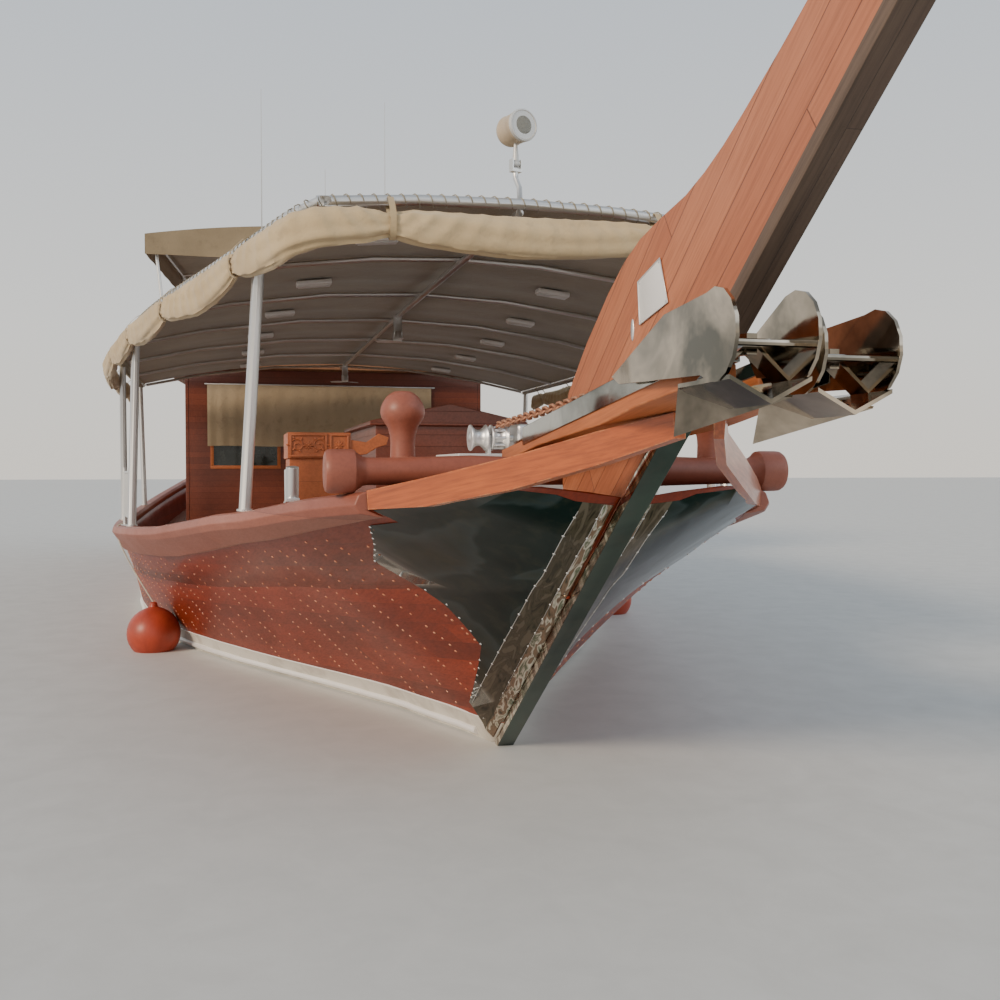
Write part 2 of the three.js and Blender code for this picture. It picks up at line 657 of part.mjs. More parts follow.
function buildWindlass() {
  const bed = fuse(
    box(150, 940, -560, 560, BED_TOP - 35, BED_TOP),
    box(200, 300, -520, 520, PLATFORM_TOP + GAP, BED_TOP - 20),
    box(760, 860, -520, 520, PLATFORM_TOP + GAP, BED_TOP - 20),
  );
  piece('windlass_bed', bed, 'white_paint');
  const centre = BED_TOP + 115;
  const drum = (y, radius) => turned([
    [0, -60], [radius, -60], [radius * 0.86, -40], [radius * 0.6, 0], [radius * 0.86, 40], [radius, 60],
      [0, 60],
  ], 16).rotateX(Math.PI / 2).translate(at(560), y, centre);
  const shaft = rod(point(560, -400, centre), point(560, 400, centre), 24, 12);
  const motor = box(430, 700, -95, 95, BED_TOP + GAP, BED_TOP + 210);
  const feet = [-1, 1].flatMap((side) => [
    drum(side * 195, DRUM_RADIUS), drum(side * 340, DRUM_RADIUS),
    box(520, 600, side * 255, side * 280, BED_TOP + GAP, centre + 20),
  ]);
  piece('windlass', fuse(motor, shaft, ...feet), 'polished_steel');
}

// The chute beams carry the anchors out past the stem.
const CHUTE = { back: 1180, front: 3940, inner: 100, outer: 330, overhang: 30 };
const CHUTE_RISE = 0.104;
const chuteTop = (ahead) => 2235 + CHUTE_RISE * (ahead - 1330);

// The port chute ends a little short of the starboard one, and its anchor lies that much further aft.
const PORT_SHORT = 200;
const shortfall = (side) => (side === PORT ? PORT_SHORT : 0);

function buildChute(side) {
  const top = (ahead) => [ahead, chuteTop(ahead)];
  const low = (ahead, depth) => [ahead, chuteTop(ahead) - depth];
  const front = CHUTE.front - shortfall(side);
  const outline = [
    top(CHUTE.back), top(front), low(front, 105), low(3460, 95), low(3150, 105), low(3010, 108),
    low(2000, 75), low(BEAM_AHEAD, 79.1), low(CHUTE.back, 60),
  ];
  const beam = sidePlate(outline, side * CHUTE.inner, side * CHUTE.outer);
  piece(sideName('chute_beam', side), beam, 'orange_timber');
  const tip = front + CHUTE.overhang;
  const liner = (rise0, rise1, y0, y1, from = 1500) => sidePlate(
    [[from, chuteTop(from) + rise0], [tip, chuteTop(tip) + rise0],
      [tip, chuteTop(tip) + rise1], [from, chuteTop(from) + rise1]],
    side * y0, side * y1);
  const channel = fuse(
    liner(GAP, 8, CHUTE.inner, CHUTE.outer + 8),
    liner(GAP, 62, CHUTE.inner, CHUTE.inner + 8),
    liner(-34, 70, CHUTE.outer + GAP, CHUTE.outer + 8, 1700),
  );
  piece(sideName('chute_liner', side), channel, 'polished_steel');
}

// Each anchor: two cheeks that end in round lobes, folded palms between them, a tie rod and a shank.
const LOBE = { ahead: 4330, height: 2560, radius: 165 };
const ANCHOR_LINE = 225;
const FLUKE_DEPTH = new THREE.Vector3(-6, 8, 10);
const CHAIN_END_RADIUS = 20;

function lobeOutline(tail) {
  const arc = [];
  for (let step = 0; step <= 10; step += 1) {
    const angle = THREE.MathUtils.degToRad(112 - step * 24);
    arc.push([LOBE.ahead + LOBE.radius * Math.cos(angle), LOBE.height + LOBE.radius * Math.sin(angle)]);
  }
  return [...arc, ...tail];
}

function buildAnchor(side) {
  const outerCheek = sidePlate(lobeOutline([[3960, 2440], [3420, 2462], [3330, 2500], [3900, 2690]]),
    side * 372, side * 386);
  const innerCheek = sidePlate(lobeOutline([[4060, 2440], [3960, 2560]]), side * 66, side * 80);
  const tie = rod(point(4400, side * 70, 2530), point(4400, side * 380, 2530), 13, 8);
  const palm = crossPlate([[side * 72, 2400], [side * 225, 2318], [side * 380, 2400], [side * 380, 2416],
    [side * 225, 2336], [side * 72, 2416]], 4020, 4440);
  const ridge = crossPlate([[side * 75, 2420], [side * 225, 2560], [side * 378, 2420], [side * 378, 2404],
    [side * 225, 2540], [side * 75, 2404]], 4180, 4300);
  const flukeFace = [
    point(4000, side * ANCHOR_LINE - 147, 2400), point(4400, side * ANCHOR_LINE + 100, 2345),
    point(3800, side * ANCHOR_LINE - 75, 2225),
  ];
  const fluke = loft([flukeFace, flukeFace.map((p) => p.clone().add(FLUKE_DEPTH))]);
  const shank = sidePlate([[3090, 2450], [3975, 2518.4], [4300, 2500], [4300, 2575], [3960, 2592],
    [3090, 2520]],
    side * 205, side * 245);
  const whole = fuse(outerCheek, innerCheek, tie, palm, ridge, fluke, shank);
  const slide = -shortfall(side);
  piece(sideName('anchor', side), geometryOf(whole).translate(slide, 0, slide * CHUTE_RISE),
    'polished_steel');
}

// One chain link about the middle of its length, which runs along z. It lies in the plane of y and z.
const LINK = { long: 118, wide: 66, bar: 19, corner: 18, pitch: 87, ends: 60 };

function chainLink() {
  const oval = (long, wide, corner) => [
    [wide - corner, long], [wide, long - corner], [wide, corner - long], [wide - corner, -long],
    [corner - wide, -long], [-wide, corner - long], [-wide, long - corner], [corner - wide, long],
  ];
  const shape = outlineShape(oval(LINK.long / 2, LINK.wide / 2, LINK.corner));
  const hole = oval(LINK.long / 2 - LINK.bar, LINK.wide / 2 - LINK.bar, LINK.corner / 3).reverse();
  shape.holes.push(new THREE.Path(hole.map(([u, v]) => new THREE.Vector2(u, v))));
  const ring = new THREE.ExtrudeGeometry(shape, { depth: LINK.bar, bevelEnabled: false });
  const upright = new THREE.Matrix4().makeBasis(
    new THREE.Vector3(0, 1, 0), new THREE.Vector3(0, 0, 1), new THREE.Vector3(1, 0, 0));
  return ring.translate(0, 0, -LINK.bar / 2).applyMatrix4(upright);
}

// Links turned a quarter to each other, between the short bars that lie on the drum and in the shackle.
function buildChain(side) {
  const slide = -shortfall(side);
  const start = point(560, side * 195, BED_TOP + 115 + 79);
  const end = point(3088.7 + slide, side * ANCHOR_LINE, 2485 + slide * CHUTE_RISE);
  const along = new THREE.Vector3().subVectors(end, start);
  const length = along.length();
  along.normalize();
  const reach = (distance) => start.clone().addScaledVector(along, distance);
  const first = DRUM_RADIUS + LINK.long / 2;
  const last = length - LINK.ends;
  const count = Math.floor((last - first) / LINK.pitch) + 1;
  const pitch = (last - first) / (count - 1);
  const facing = new THREE.Quaternion().setFromUnitVectors(new THREE.Vector3(0, 0, 1), along);
  const links = Array.from({ length: count }, (_, i) => {
    const place = reach(first + i * pitch);
    return chainLink().rotateZ((i % 2) * (Math.PI / 2)).applyQuaternion(facing)
      .translate(place.x, place.y, place.z);
  });
  const bars = [
    rod(start, reach(first - LINK.long / 2 + LINK.bar), CHAIN_END_RADIUS, 8),
    rod(reach(last + LINK.long / 2 - LINK.bar), end, CHAIN_END_RADIUS, 8),
  ];
  piece(sideName('anchor_chain', side), fuse(...bars, ...links), 'rusty_chain');
}

// A door leaf and its hinge barrels, about the hinge line. The leaf runs to one side of it along y.
const HINGE = { radius: 8.7, line: 9, edge: 8, length: 120 };

function hingedLeaf(width, height, thick, toward) {
  const y = (value) => toward * value;
  const slab = new THREE.BoxGeometry(thick, width, height)
    .translate(HINGE.line + thick / 2, y(HINGE.edge + width / 2), height / 2);
  const hinges = [0.12, 0.5, 0.88].flatMap((share) => [
    rod(new THREE.Vector3(0, 0, height * share - HINGE.length / 2),
      new THREE.Vector3(0, 0, height * share + HINGE.length / 2), HINGE.radius, 10),
    new THREE.BoxGeometry(6.5, 70, HINGE.length).translate(HINGE.line - 2.5, y(36), height * share),
  ]);
  return fuse(slab, ...hinges);
}

// Foredeck companion with a gabled top and a door in its back.

const TRUNK = { front: -2100, back: -4300, half: 700, eave: 2520, ridge: 2690, wall: 50, door: 320,
  doorHeight: 1180 };

function buildCompanion() {
  const gable = (half, eave, ridge, low) => [[-half, low], [half, low], [half, eave], [0, ridge],
    [-half, eave]];
  const floor = deckHeight(TRUNK.front) + GAP;
  const outer = crossPlate(gable(TRUNK.half, TRUNK.eave, TRUNK.ridge, floor - 200), TRUNK.back,
    TRUNK.front);
  const roof = crossPlate(
    [[-TRUNK.half - 60, TRUNK.eave - 15], [TRUNK.half + 60, TRUNK.eave - 15], [TRUNK.half + 60,
      TRUNK.eave + 25],
      [0, TRUNK.ridge + 25], [-TRUNK.half - 60, TRUNK.eave + 25]], TRUNK.back - 50, TRUNK.front + 50);
  const inner = crossPlate(
    gable(TRUNK.half - TRUNK.wall, TRUNK.eave - 40, TRUNK.ridge - 60, floor - 400),
    TRUNK.back + TRUNK.wall, TRUNK.front - TRUNK.wall);
  const under = sidePlate([[-5000, 0], [-1000, 0], [-1000, deckHeight(-1000) + GAP], [-1400,
    deckHeight(-1400) + GAP],
    [-2000, deckHeight(-2000) + GAP], [-2700, deckHeight(-2700) + GAP], [-3400, deckHeight(-3400) + GAP],
    [-4200, deckHeight(-4200) + GAP], [-5000, deckHeight(-5000) + GAP]], -2000, 2000);
  const doorLow = deckHeight(TRUNK.back) + 60;
  const doorway = box(TRUNK.back - 100, TRUNK.back + 100, -TRUNK.door, TRUNK.door,
    doorLow, doorLow + TRUNK.doorHeight);
  piece('companion', cut(fuse(outer, roof), inner, under, doorway), 'cabin_panel');
  const leaf = hingedLeaf(TRUNK.door * 2 - 16, TRUNK.doorHeight - 12, 36, 1);
  piece('companion_door', leaf, 'cabin_panel', point(TRUNK.back - HINGE.line, -TRUNK.door, doorLow + 6));
}

function buildBench() {
  const floor = Math.max(deckHeight(-700), deckHeight(-1300)) + GAP;
  const seat = box(-1300, -700, -1240, -900, floor, 1620);
  const chest = box(-1300, -700, -1560, -1100, 1440, 2190);
  const frieze = box(-1315, -680, -1575, -1085, 2180, 2385);
  const scroll = crossPlate([[-1090, 2200], [-1090, 2330], [-960, 2310], [-860, 2380], [-780, 2350],
    [-800, 2290],
    [-870, 2270], [-960, 2215]], -730, -690);
  piece('carved_bench', fuse(seat, chest, frieze, scroll), 'orange_timber');
}

function buildBollards(side) {
  const ahead = 560;
  const y = side * (railHalf(ahead) - 45);
  const [aft, fore] = [ahead - 190, ahead + 130];
  const base = sidePlate([[aft, railTop(aft) + GAP], [fore, railTop(fore) + GAP], [fore,
    railTop(fore) + 24],
    [aft, railTop(aft) + 24]], y - 45, y + 45);
  const post = (shift, lean) => {
    const z = railTop(ahead + shift);
    return rod(point(ahead + shift, y, z + 20), point(ahead + shift + lean, y, z + 235), 42, 12);
  };
  piece(sideName('bollards', side), fuse(base, post(-120, -40), post(65, 40)), 'polished_steel');
}

// Awning: side rails on posts, roof bars, cloth and rolled side curtains.

const awning = Object.fromEntries(['half', 'edge', 'ridge'].map((column) => [column,
  straight(AWNING_EDGE, column)]));
const awningStations = AWNING_EDGE.map((row) => row.ahead).filter((ahead) => ahead > AWNING_BACK);
const camber = (ahead, share) =>
  awning.edge(ahead) + (awning.ridge(ahead) - awning.edge(ahead)) * (1 - share * share);

function edgePoints(side) {
  return [AWNING_BACK, ...awningStations].map((ahead) => point(ahead, side * awning.half(ahead),
    awning.edge(ahead)));
}

// The gate's hinge and latch stanchions, and the height of its lower bar over their foot.
const GATE = { ahead: -4520, latch: -5300, height: 500, tube: 15, bars: 6, stanchion: 22, low: 90 };
const gateFoot = (ahead, side) => point(ahead, side * (railHalf(ahead) - 35), railTop(GATE.ahead + 60));

function buildAwningRail(side) {
  const foot = (ahead) => point(ahead, side * (railHalf(ahead) - 35),
    Math.max(railTop(ahead - 60), railTop(ahead + 60)) + GAP);
  const posts = POSTS.flatMap((ahead) => {
    const base = foot(ahead);
    const head = point(ahead, side * awning.half(ahead), awning.edge(ahead));
    return [rod(base.clone().setZ(base.z + 2), head, POST_RADIUS, 12),
      rod(base, base.clone().setZ(base.z + 16), 60, 12)];
  });
  const sillFrom = foot(GATE.ahead + 100);
  const sillTo = foot(GATE.latch - 60);
  const sill = loft([sillFrom, sillTo].map((p) => [
    new THREE.Vector3(p.x, p.y - 45, p.z + 2), new THREE.Vector3(p.x, p.y + 45, p.z + 2),
    new THREE.Vector3(p.x, p.y + 45, p.z + 14), new THREE.Vector3(p.x, p.y - 45, p.z + 14),
  ]));
  const stanchions = [GATE.ahead, GATE.latch].map((ahead) => {
    const base = foot(ahead);
    return rod(base.clone().setZ(base.z + 4), base.clone().setZ(sillFrom.z + 640), GATE.stanchion, 12);
  });
  const tube = bentBar(edgePoints(side), AWNING_TUBE_RADIUS, 10);
  piece(sideName('awning_rail', side), fuse(tube, ...posts, sill, ...stanchions), 'tube_steel');
}

const SHARES = [-0.97, -0.7, -0.35, 0, 0.35, 0.7, 0.97];
const FAN_AHEADS = [-5300, -11600];

function roofBar(ahead, drop, radius) {
  const points = SHARES.map((share) => point(ahead, share * awning.half(ahead), camber(ahead,
    share) - drop));
  return bentBar(points, radius, 8);
}

function buildAwningRoof() {
  const front = bentBar(
    [-1, -0.5, 0, 0.5, 1].map((share) => point(AWNING_FRONT, share * (awning.half(AWNING_FRONT) + 30),
      awning.edge(AWNING_FRONT) + 70 * (1 - share * share))), AWNING_TUBE_RADIUS, 10);
  const ridge = bentBar([-12200, -4300, AWNING_FRONT].map((ahead) => point(ahead, 0,
    awning.ridge(ahead) - 62)), 30, 8);
  const bars = [front, ridge];
  for (let ahead = AWNING_FRONT - PURLIN_SPACING; ahead > AWNING_BACK; ahead -= PURLIN_SPACING) {
    bars.push(roofBar(ahead, 25.2, PURLIN_RADIUS));
  }
  FAN_AHEADS.forEach((ahead) => {
    const top = awning.ridge(ahead) - 70;
    bars.push(box(ahead - 40, ahead + 40, -50, 50, top - 190, top + 20));
    bars.push(rod(point(ahead, 0, top - 270), point(ahead, 0, top - 180), 62, 12));
  });
  const foot = LAMP.pivot - 59;
  const pole = bentBar([point(AWNING_FRONT, 0, 3970), point(AWNING_FRONT - 20, 0, 4100),
    point(LAMP.ahead, 0, foot - 46), point(LAMP.ahead, 0, foot + 9)], 20, 8);
  const cheek = (side) => box(LAMP.ahead - 25, LAMP.ahead + 25, side * LAMP.fork, side * (LAMP.fork + 10),
    foot, LAMP.pivot + 30);
  const fork = [
    box(LAMP.ahead - 25, LAMP.ahead + 25, -LAMP.fork - 10, LAMP.fork + 10, foot, foot + 18),
    cheek(PORT), cheek(STARBOARD),
  ].map(aimed);
  const rails = [PORT, STARBOARD].map((side) => {
    const spots = edgePoints(side);
    const end = spots[spots.length - 1].clone().lerp(spots[spots.length - 2], -0.2);
    return bentBar([...spots, end], AWNING_TUBE_RADIUS + 1, 10);
  });
  const whole = cut(fuse(...bars, pole, ...fork), ...rails);
  piece('awning_roof_frame', whole.decompose().sort((a, b) => b.volume() - a.volume())[0], 'tube_steel');
}

function buildSearchlight() {
  const rise = LAMP.height - LAMP.pivot;
  const drum = turned([[0, -125], [86, -120], [104, -100], [LAMP.radius, -80], [LAMP.radius, 95],
    [104, 110], [0, 112]], 20)
    .rotateY(Math.PI / 2).translate(0, 0, rise);
  const neck = rod(new THREE.Vector3(0, 0, 0), new THREE.Vector3(0, 0, rise - 90), 22, 12, 12);
  const barrel = rod(new THREE.Vector3(0, GAP + 0.1 - LAMP.fork, 0),
    new THREE.Vector3(0, LAMP.fork - GAP - 0.1, 0), 26, 14);
  const whole = geometryOf(fuse(drum, neck, barrel)).rotateZ(LAMP.yaw);
  piece('searchlight', whole, 'lamp_grey', point(LAMP.ahead, 0, LAMP.pivot));
}

function buildFan(ahead, name) {
  const hub = rod(new THREE.Vector3(0, 0, -34), new THREE.Vector3(0, 0, 0), 55, 12);
  const blades = [0, 1, 2].map((turn) => new THREE.BoxGeometry(270, 95, 8)
    .rotateX(0.2).translate(165, 0, -18).rotateZ((turn * 2 * Math.PI) / 3));
  piece(name, fuse(hub, ...blades), 'white_paint', point(ahead, 0, awning.ridge(ahead) - 70 - 270.4));
}

function clothRing(ahead, half, edge, ridge, thick) {
  const shares = [-1, -0.7, -0.35, 0, 0.35, 0.7, 1];
  const height = (share) => edge + (ridge - edge) * (1 - share * share);
  const under = shares.map((share) => point(ahead, share * half, height(share)));
  const over = [...shares].reverse().map((share) => point(ahead, share * half, height(share) + thick));
  return [...under, ...over];
}

function buildAwningCloth() {
  const rows = [AWNING_BACK + 60, ...awningStations.filter((ahead) => ahead < 400), 370];
  const rings = rows.map((ahead) => {
    const share = 1 - 55 / awning.half(ahead);
    return clothRing(ahead, awning.half(ahead) * share, camber(ahead, share) + 2,
      awning.ridge(ahead) + 2, CLOTH_THICK);
  });
  piece('awning_cloth', loft(rings), 'awning_cloth');
}

function buildCurtains() {
  const offset = 117;
  const drop = 150;
  const sideRun = (side) => [-12000, -9000, -6700, -4300, -2800, -1300].map(
    (ahead) => point(ahead, side * (awning.half(ahead) + offset), awning.edge(ahead) - drop));
  const front = [-1250, -600, 0, 600, 1250].map(
    (y) => point(AWNING_FRONT + offset, y, awning.edge(AWNING_FRONT) - drop + 20));
  const corner = (side) => [point(210, side * 1715, awning.edge(140) - drop),
    point(480, side * 1520, awning.edge(AWNING_FRONT) - drop)];
  const path = [...sideRun(STARBOARD), ...corner(STARBOARD), ...front, ...corner(PORT).reverse(),
    ...sideRun(PORT).reverse()];
  piece('rolled_curtains', bentBar(path, 70, 8, 125), 'awning_cloth');
}

// Boarding gates, each hung on a stanchion aft of the second post.

function buildGate(side) {
  const hinge = gateFoot(GATE.ahead, side);
  const latch = gateFoot(GATE.latch, side);
  const heading = Math.atan2(latch.y - hinge.y, latch.x - hinge.x);
  const start = GATE.stanchion + 12 + GATE.tube;
  const length = hinge.distanceTo(latch) - start - GATE.stanchion - GATE.tube - 12;
  const v = (along, up) => new THREE.Vector3(along, 0, up);
  const heights = [GATE.low, GATE.low + GATE.height];
  const rails = heights.map((up) => rod(v(GATE.stanchion + 0.4, up), v(start + length, up), GATE.tube, 8));
  const bars = Array.from({ length: GATE.bars + 1 }, (_, i) => {
    const along = start + (length * i) / GATE.bars;
    return rod(v(along, heights[0] - 8), v(along, heights[1] + 8), i % GATE.bars ? 8 : GATE.tube, 8);
  });
  const leaf = geometryOf(fuse(...rails, ...bars)).rotateZ(heading);
  piece(sideName('boarding_gate', side), leaf, 'tube_steel', hinge);
}

// Aft deckhouse: four walls with windows cut, two doors, and the upper deck on top.

const cabinHalf = straight(
  [{ ahead: CABIN_BACK, half: CABIN_BACK_HALF }, { ahead: CABIN_FRONT, half: CABIN_FRONT_HALF }], 'half');
const CABIN_TOP = UPPER_DECK_UNDERSIDE - GAP;
const DOOR = { half: 740, height: 1950, sill: 90, thick: 42 };
const CABIN_WINDOWS = [-14100, -15900, -17700];
const WINDOW = { width: 1150, low: 2150, high: 3050 };

function deckCutter(half) {
  const floor = deckLine.table.filter((row) => row.ahead < -10000).map((row) => [row.ahead,
    row.value + GAP]);
  return sidePlate([[floor[0][0], -100], [floor[floor.length - 1][0], -100], ...floor.reverse()], -half,
    half);
}

function buildCabin() {
  const under = deckCutter(4000);
  const frontHalf = cabinHalf(CABIN_FRONT - CABIN_WALL) - CABIN_WALL - GAP;
  const frontWall = box(CABIN_FRONT - CABIN_WALL, CABIN_FRONT, -frontHalf, frontHalf, 700, CABIN_TOP);
  const sill = deckHeight(CABIN_FRONT) + DOOR.sill;
  const doorway = box(CABIN_FRONT - 200, CABIN_FRONT + 200, -DOOR.half, DOOR.half, sill,
    sill + DOOR.height);
  const frontWindows = [-1, 1].map((side) => box(CABIN_FRONT - 200, CABIN_FRONT + 200, side * 1150,
    side * 2350,
    WINDOW.low, WINDOW.high));
  piece('cabin_front', cut(solid(frontWall), under, doorway, ...frontWindows), 'cabin_panel');
  const backHalf = CABIN_BACK_HALF - CABIN_WALL - GAP;
  const backWall = box(CABIN_BACK, CABIN_BACK + CABIN_WALL, -backHalf, backHalf, 700, CABIN_TOP);
  const backWindows = [-1, 1].map((side) => box(CABIN_BACK - 200, CABIN_BACK + 200, side * 450, side * 1650,
    2350, WINDOW.high + 100));
  piece('cabin_back', cut(solid(backWall), under, ...backWindows), 'cabin_panel');
  [STARBOARD, PORT].forEach((side) => {
    const outer = (ahead) => [ahead, side * cabinHalf(ahead)];
    const inner = (ahead) => [ahead, side * (cabinHalf(ahead) - CABIN_WALL)];
    const wall = planPlate([outer(CABIN_BACK), outer(CABIN_FRONT), inner(CABIN_FRONT),
      inner(CABIN_BACK)], 700, CABIN_TOP);
    const windows = CABIN_WINDOWS.map((ahead) => box(ahead - WINDOW.width / 2, ahead + WINDOW.width / 2,
      side * 1900, side * 3200, WINDOW.low, WINDOW.high));
    piece(sideName('cabin_wall', side), cut(solid(wall), under, ...windows), 'cabin_panel');
    const leaf = hingedLeaf(DOOR.half - 12, DOOR.height - 12, DOOR.thick, -side);
    piece(sideName('cabin_door', side), leaf, 'cabin_panel',
      point(CABIN_FRONT - CABIN_WALL - HINGE.line, side * DOOR.half, sill + 6));
  });
}

const upperHalf = straight([{ ahead: UPPER_DECK_BACK, half: UPPER_DECK_BACK_HALF },
  { ahead: UPPER_DECK_FRONT, half: UPPER_DECK_FRONT_HALF }], 'half');
const UPPER_TOP = UPPER_DECK_UNDERSIDE + UPPER_DECK_THICK;

function buildUpperDeck() {
  const corner = (ahead, side) => [ahead, side * upperHalf(ahead)];
  const slab = planPlate([corner(UPPER_DECK_FRONT, -1), corner(UPPER_DECK_FRONT, 1),
    corner(UPPER_DECK_BACK, 1),
    corner(UPPER_DECK_BACK, -1)], UPPER_DECK_UNDERSIDE, UPPER_TOP);
  piece('upper_deck', slab, 'deck_boards');
}

// A balustrade round the upper deck, with a gap at the stern for the ladder.
function buildUpperRail() {
  const inset = 60;
  const height = 950;
  const spot = (ahead, side) => point(ahead, side * (upperHalf(ahead) - inset), UPPER_TOP + GAP);
  const runs = [
    [point(UPPER_DECK_BACK + inset, -1850, UPPER_TOP + GAP), spot(UPPER_DECK_BACK + inset, -1),
      spot(UPPER_DECK_FRONT - inset, -1), spot(UPPER_DECK_FRONT - inset, 1),
        spot(UPPER_DECK_BACK + inset, 1),
      point(UPPER_DECK_BACK + inset, -1150, UPPER_TOP + GAP)],
  ];
  const up = (p, z) => p.clone().setZ(p.z + z);
  const parts = [];
  runs.forEach((run) => run.slice(1).forEach((next, i) => {
    const from = run[i];
    const length = from.distanceTo(next);
    const bays = Math.max(1, Math.round(length / 1300));
    [[height - 30, 42], [height / 2, 22], [90, 22]].forEach(([rise, radius]) => {
      parts.push(rod(up(from, rise), up(next, rise), radius, 4));
    });
    for (let bay = 0; bay <= bays; bay += 1) {
      const p = from.clone().lerp(next, bay / bays);
      parts.push(rod(p, up(p, height), 38, 4));
    }
  }));
  piece('upper_rail', fuse(...parts), 'painted_rail');
}

const UPPER_AWNING = { front: -12700, back: -20100, edge: 6400, ridge: 6700, over: 130, valance: 360 };
const UPPER_POSTS = [-12900, -16500, -19900];
const ANTENNAS = [{ y: -1430, top: 9200 }, { y: -250, top: 7800 }, { y: 890, top: 9150 }];

// The arms that carry the antennas out past the cloth.
function antennaFeet(radius) {
  return ANTENNAS.map(({ y }) => {
    const low = antennaLow(y);
    return rod(point(UPPER_POSTS[0], y, low), point(UPPER_AWNING.front + 60, y, low), radius, 6);
  });
}

function antennaLow(y) {
  const share = y / (upperHalf(UPPER_POSTS[0]) - 20);
  return UPPER_AWNING.edge - 80 + (UPPER_AWNING.ridge - UPPER_AWNING.edge) * (1 - share * share);
}

function buildUpperAwning() {
  const { front, back, edge, ridge, over } = UPPER_AWNING;
  const rings = [back, -16500, front].map((ahead) => clothRing(ahead, upperHalf(ahead) + over, edge,
    ridge, CLOTH_THICK));
  const roof = solid(loft(rings));
  const skirt = (ahead) => [ahead, upperHalf(ahead) + over];
  const outline = (grow) => [
    [front + grow, -(skirt(front)[1] + grow)], [front + grow, skirt(front)[1] + grow],
    [back - grow, skirt(back)[1] + grow], [back - grow, -(skirt(back)[1] + grow)]];
  const band = solid(planPlate(outline(0), edge - UPPER_AWNING.valance, edge + 14)).subtract(
    solid(planPlate(outline(-14), edge - UPPER_AWNING.valance - 100, edge + 100)));
  const gable = (ahead) => {
    const half = upperHalf(ahead) + over;
    const shares = [-1, -0.7, -0.35, 0, 0.35, 0.7, 1];
    const top = shares.map((share) => [share * half, edge + (ridge - edge) * (1 - share * share) + 8]);
    return crossPlate([[-half, edge - 10], [half, edge - 10], ...top.reverse()], ahead, ahead + 14);
  };
  const cloth = roof.add(band).add(solid(gable(front - 14))).add(solid(gable(back)));
  piece('upper_awning', cut(cloth, ...antennaFeet(15)), 'awning_cloth');
}

function buildUpperFrame() {
  const { edge, ridge } = UPPER_AWNING;
  const half = (ahead) => upperHalf(ahead) - 20;
  const parts = [PORT, STARBOARD].flatMap((side) => [
    rod(point(UPPER_POSTS[0], side * half(UPPER_POSTS[0]), edge - 60),
      point(UPPER_POSTS[2], side * half(UPPER_POSTS[2]), edge - 60), 24, 8),
    ...UPPER_POSTS.map((ahead) => rod(point(ahead, side * (half(ahead) - 230), UPPER_TOP + 3.4),
      point(ahead, side * half(ahead), edge - 50), 30, 10)),
  ]);
  UPPER_POSTS.forEach((ahead) => {
    const shares = [-1, -0.5, 0, 0.5, 1];
    const bow = shares.map((share) => point(ahead, share * half(ahead),
      edge - 60 + (ridge - edge) * (1 - share * share)));
    bow.slice(1).forEach((next, i) => parts.push(rod(bow[i], next, 24, 8)));
  });
  parts.push(...antennaFeet(14));
  ANTENNAS.forEach(({ y, top }) => {
    const mast = UPPER_AWNING.front + 60;
    parts.push(rod(point(mast, y, antennaLow(y)), point(mast, y, top), 13, 6, 5));
  });
  piece('upper_awning_frame', fuse(...parts), 'tube_steel');
}

// Helm on the upper deck, and the ladder at the stern.

const HELM = { ahead: -13900, height: UPPER_TOP + 980 };

function buildHelm() {
  const back = HELM.ahead;
  const console = sidePlate([[back, UPPER_TOP + GAP], [back + 420, UPPER_TOP + GAP], [back + 420,
    UPPER_TOP + 1250],
    [back + 260, UPPER_TOP + 1250], [back, UPPER_TOP + 1080]], -450, 450);
  const boss = rod(point(back - 60, 0, HELM.height - 160), point(back + 20, 0, HELM.height - 160), 45, 12);
  piece('helm_console', fuse(console, boss), 'cabin_panel');
  const rim = new THREE.TorusGeometry(300, 16, 6, 18).rotateY(Math.PI / 2);
  const hub = rod(new THREE.Vector3(-26, 0, 0), new THREE.Vector3(26, 0, 0), 48, 12);
  const spokes = Array.from({ length: 6 }, (_, i) => {
    const angle = (i * Math.PI) / 3;
    const tip = new THREE.Vector3(0, 375 * Math.cos(angle), 375 * Math.sin(angle));
    return rod(new THREE.Vector3(0, 0, 0), tip, 13, 6);
  });
  piece('helm_wheel', fuse(rim, hub, ...spokes), 'painted_rail', point(back - 60 - 26.5, 0,
    HELM.height - 160));
}

function buildLadder() {
  const foot = point(-21250, -1500, Math.max(deckHeight(-21300), deckHeight(-21180)) + GAP);
  const head = point(UPPER_DECK_BACK - 30, -1500, UPPER_TOP + 60);
  const along = new THREE.Vector3().subVectors(head, foot);
  const stringer = (y) => sidePlate([[-21300, foot.z], [-21180, foot.z], [UPPER_DECK_BACK - GAP,
    UPPER_TOP + 60],
    [UPPER_DECK_BACK - 120, UPPER_TOP + 60]], y, y + 40);
  const treads = Array.from({ length: 9 }, (_, i) => {
    const p = foot.clone().addScaledVector(along, (i + 1) / 10);
    return new THREE.BoxGeometry(170, 520, 30).translate(p.x, p.y, p.z);
  });
  piece('stern_ladder', fuse(stringer(-1790), stringer(-1250), ...treads), 'orange_timber');
}

// Propeller, rudder and fenders.
const FENDERS = {
  [STARBOARD]: { ahead: -5050, height: 200, radius: 300, stand: -5.9, tie: -5480 },
  [PORT]: { ahead: -6700, height: 200, radius: 300, stand: -1.9, tie: -6700 },
};

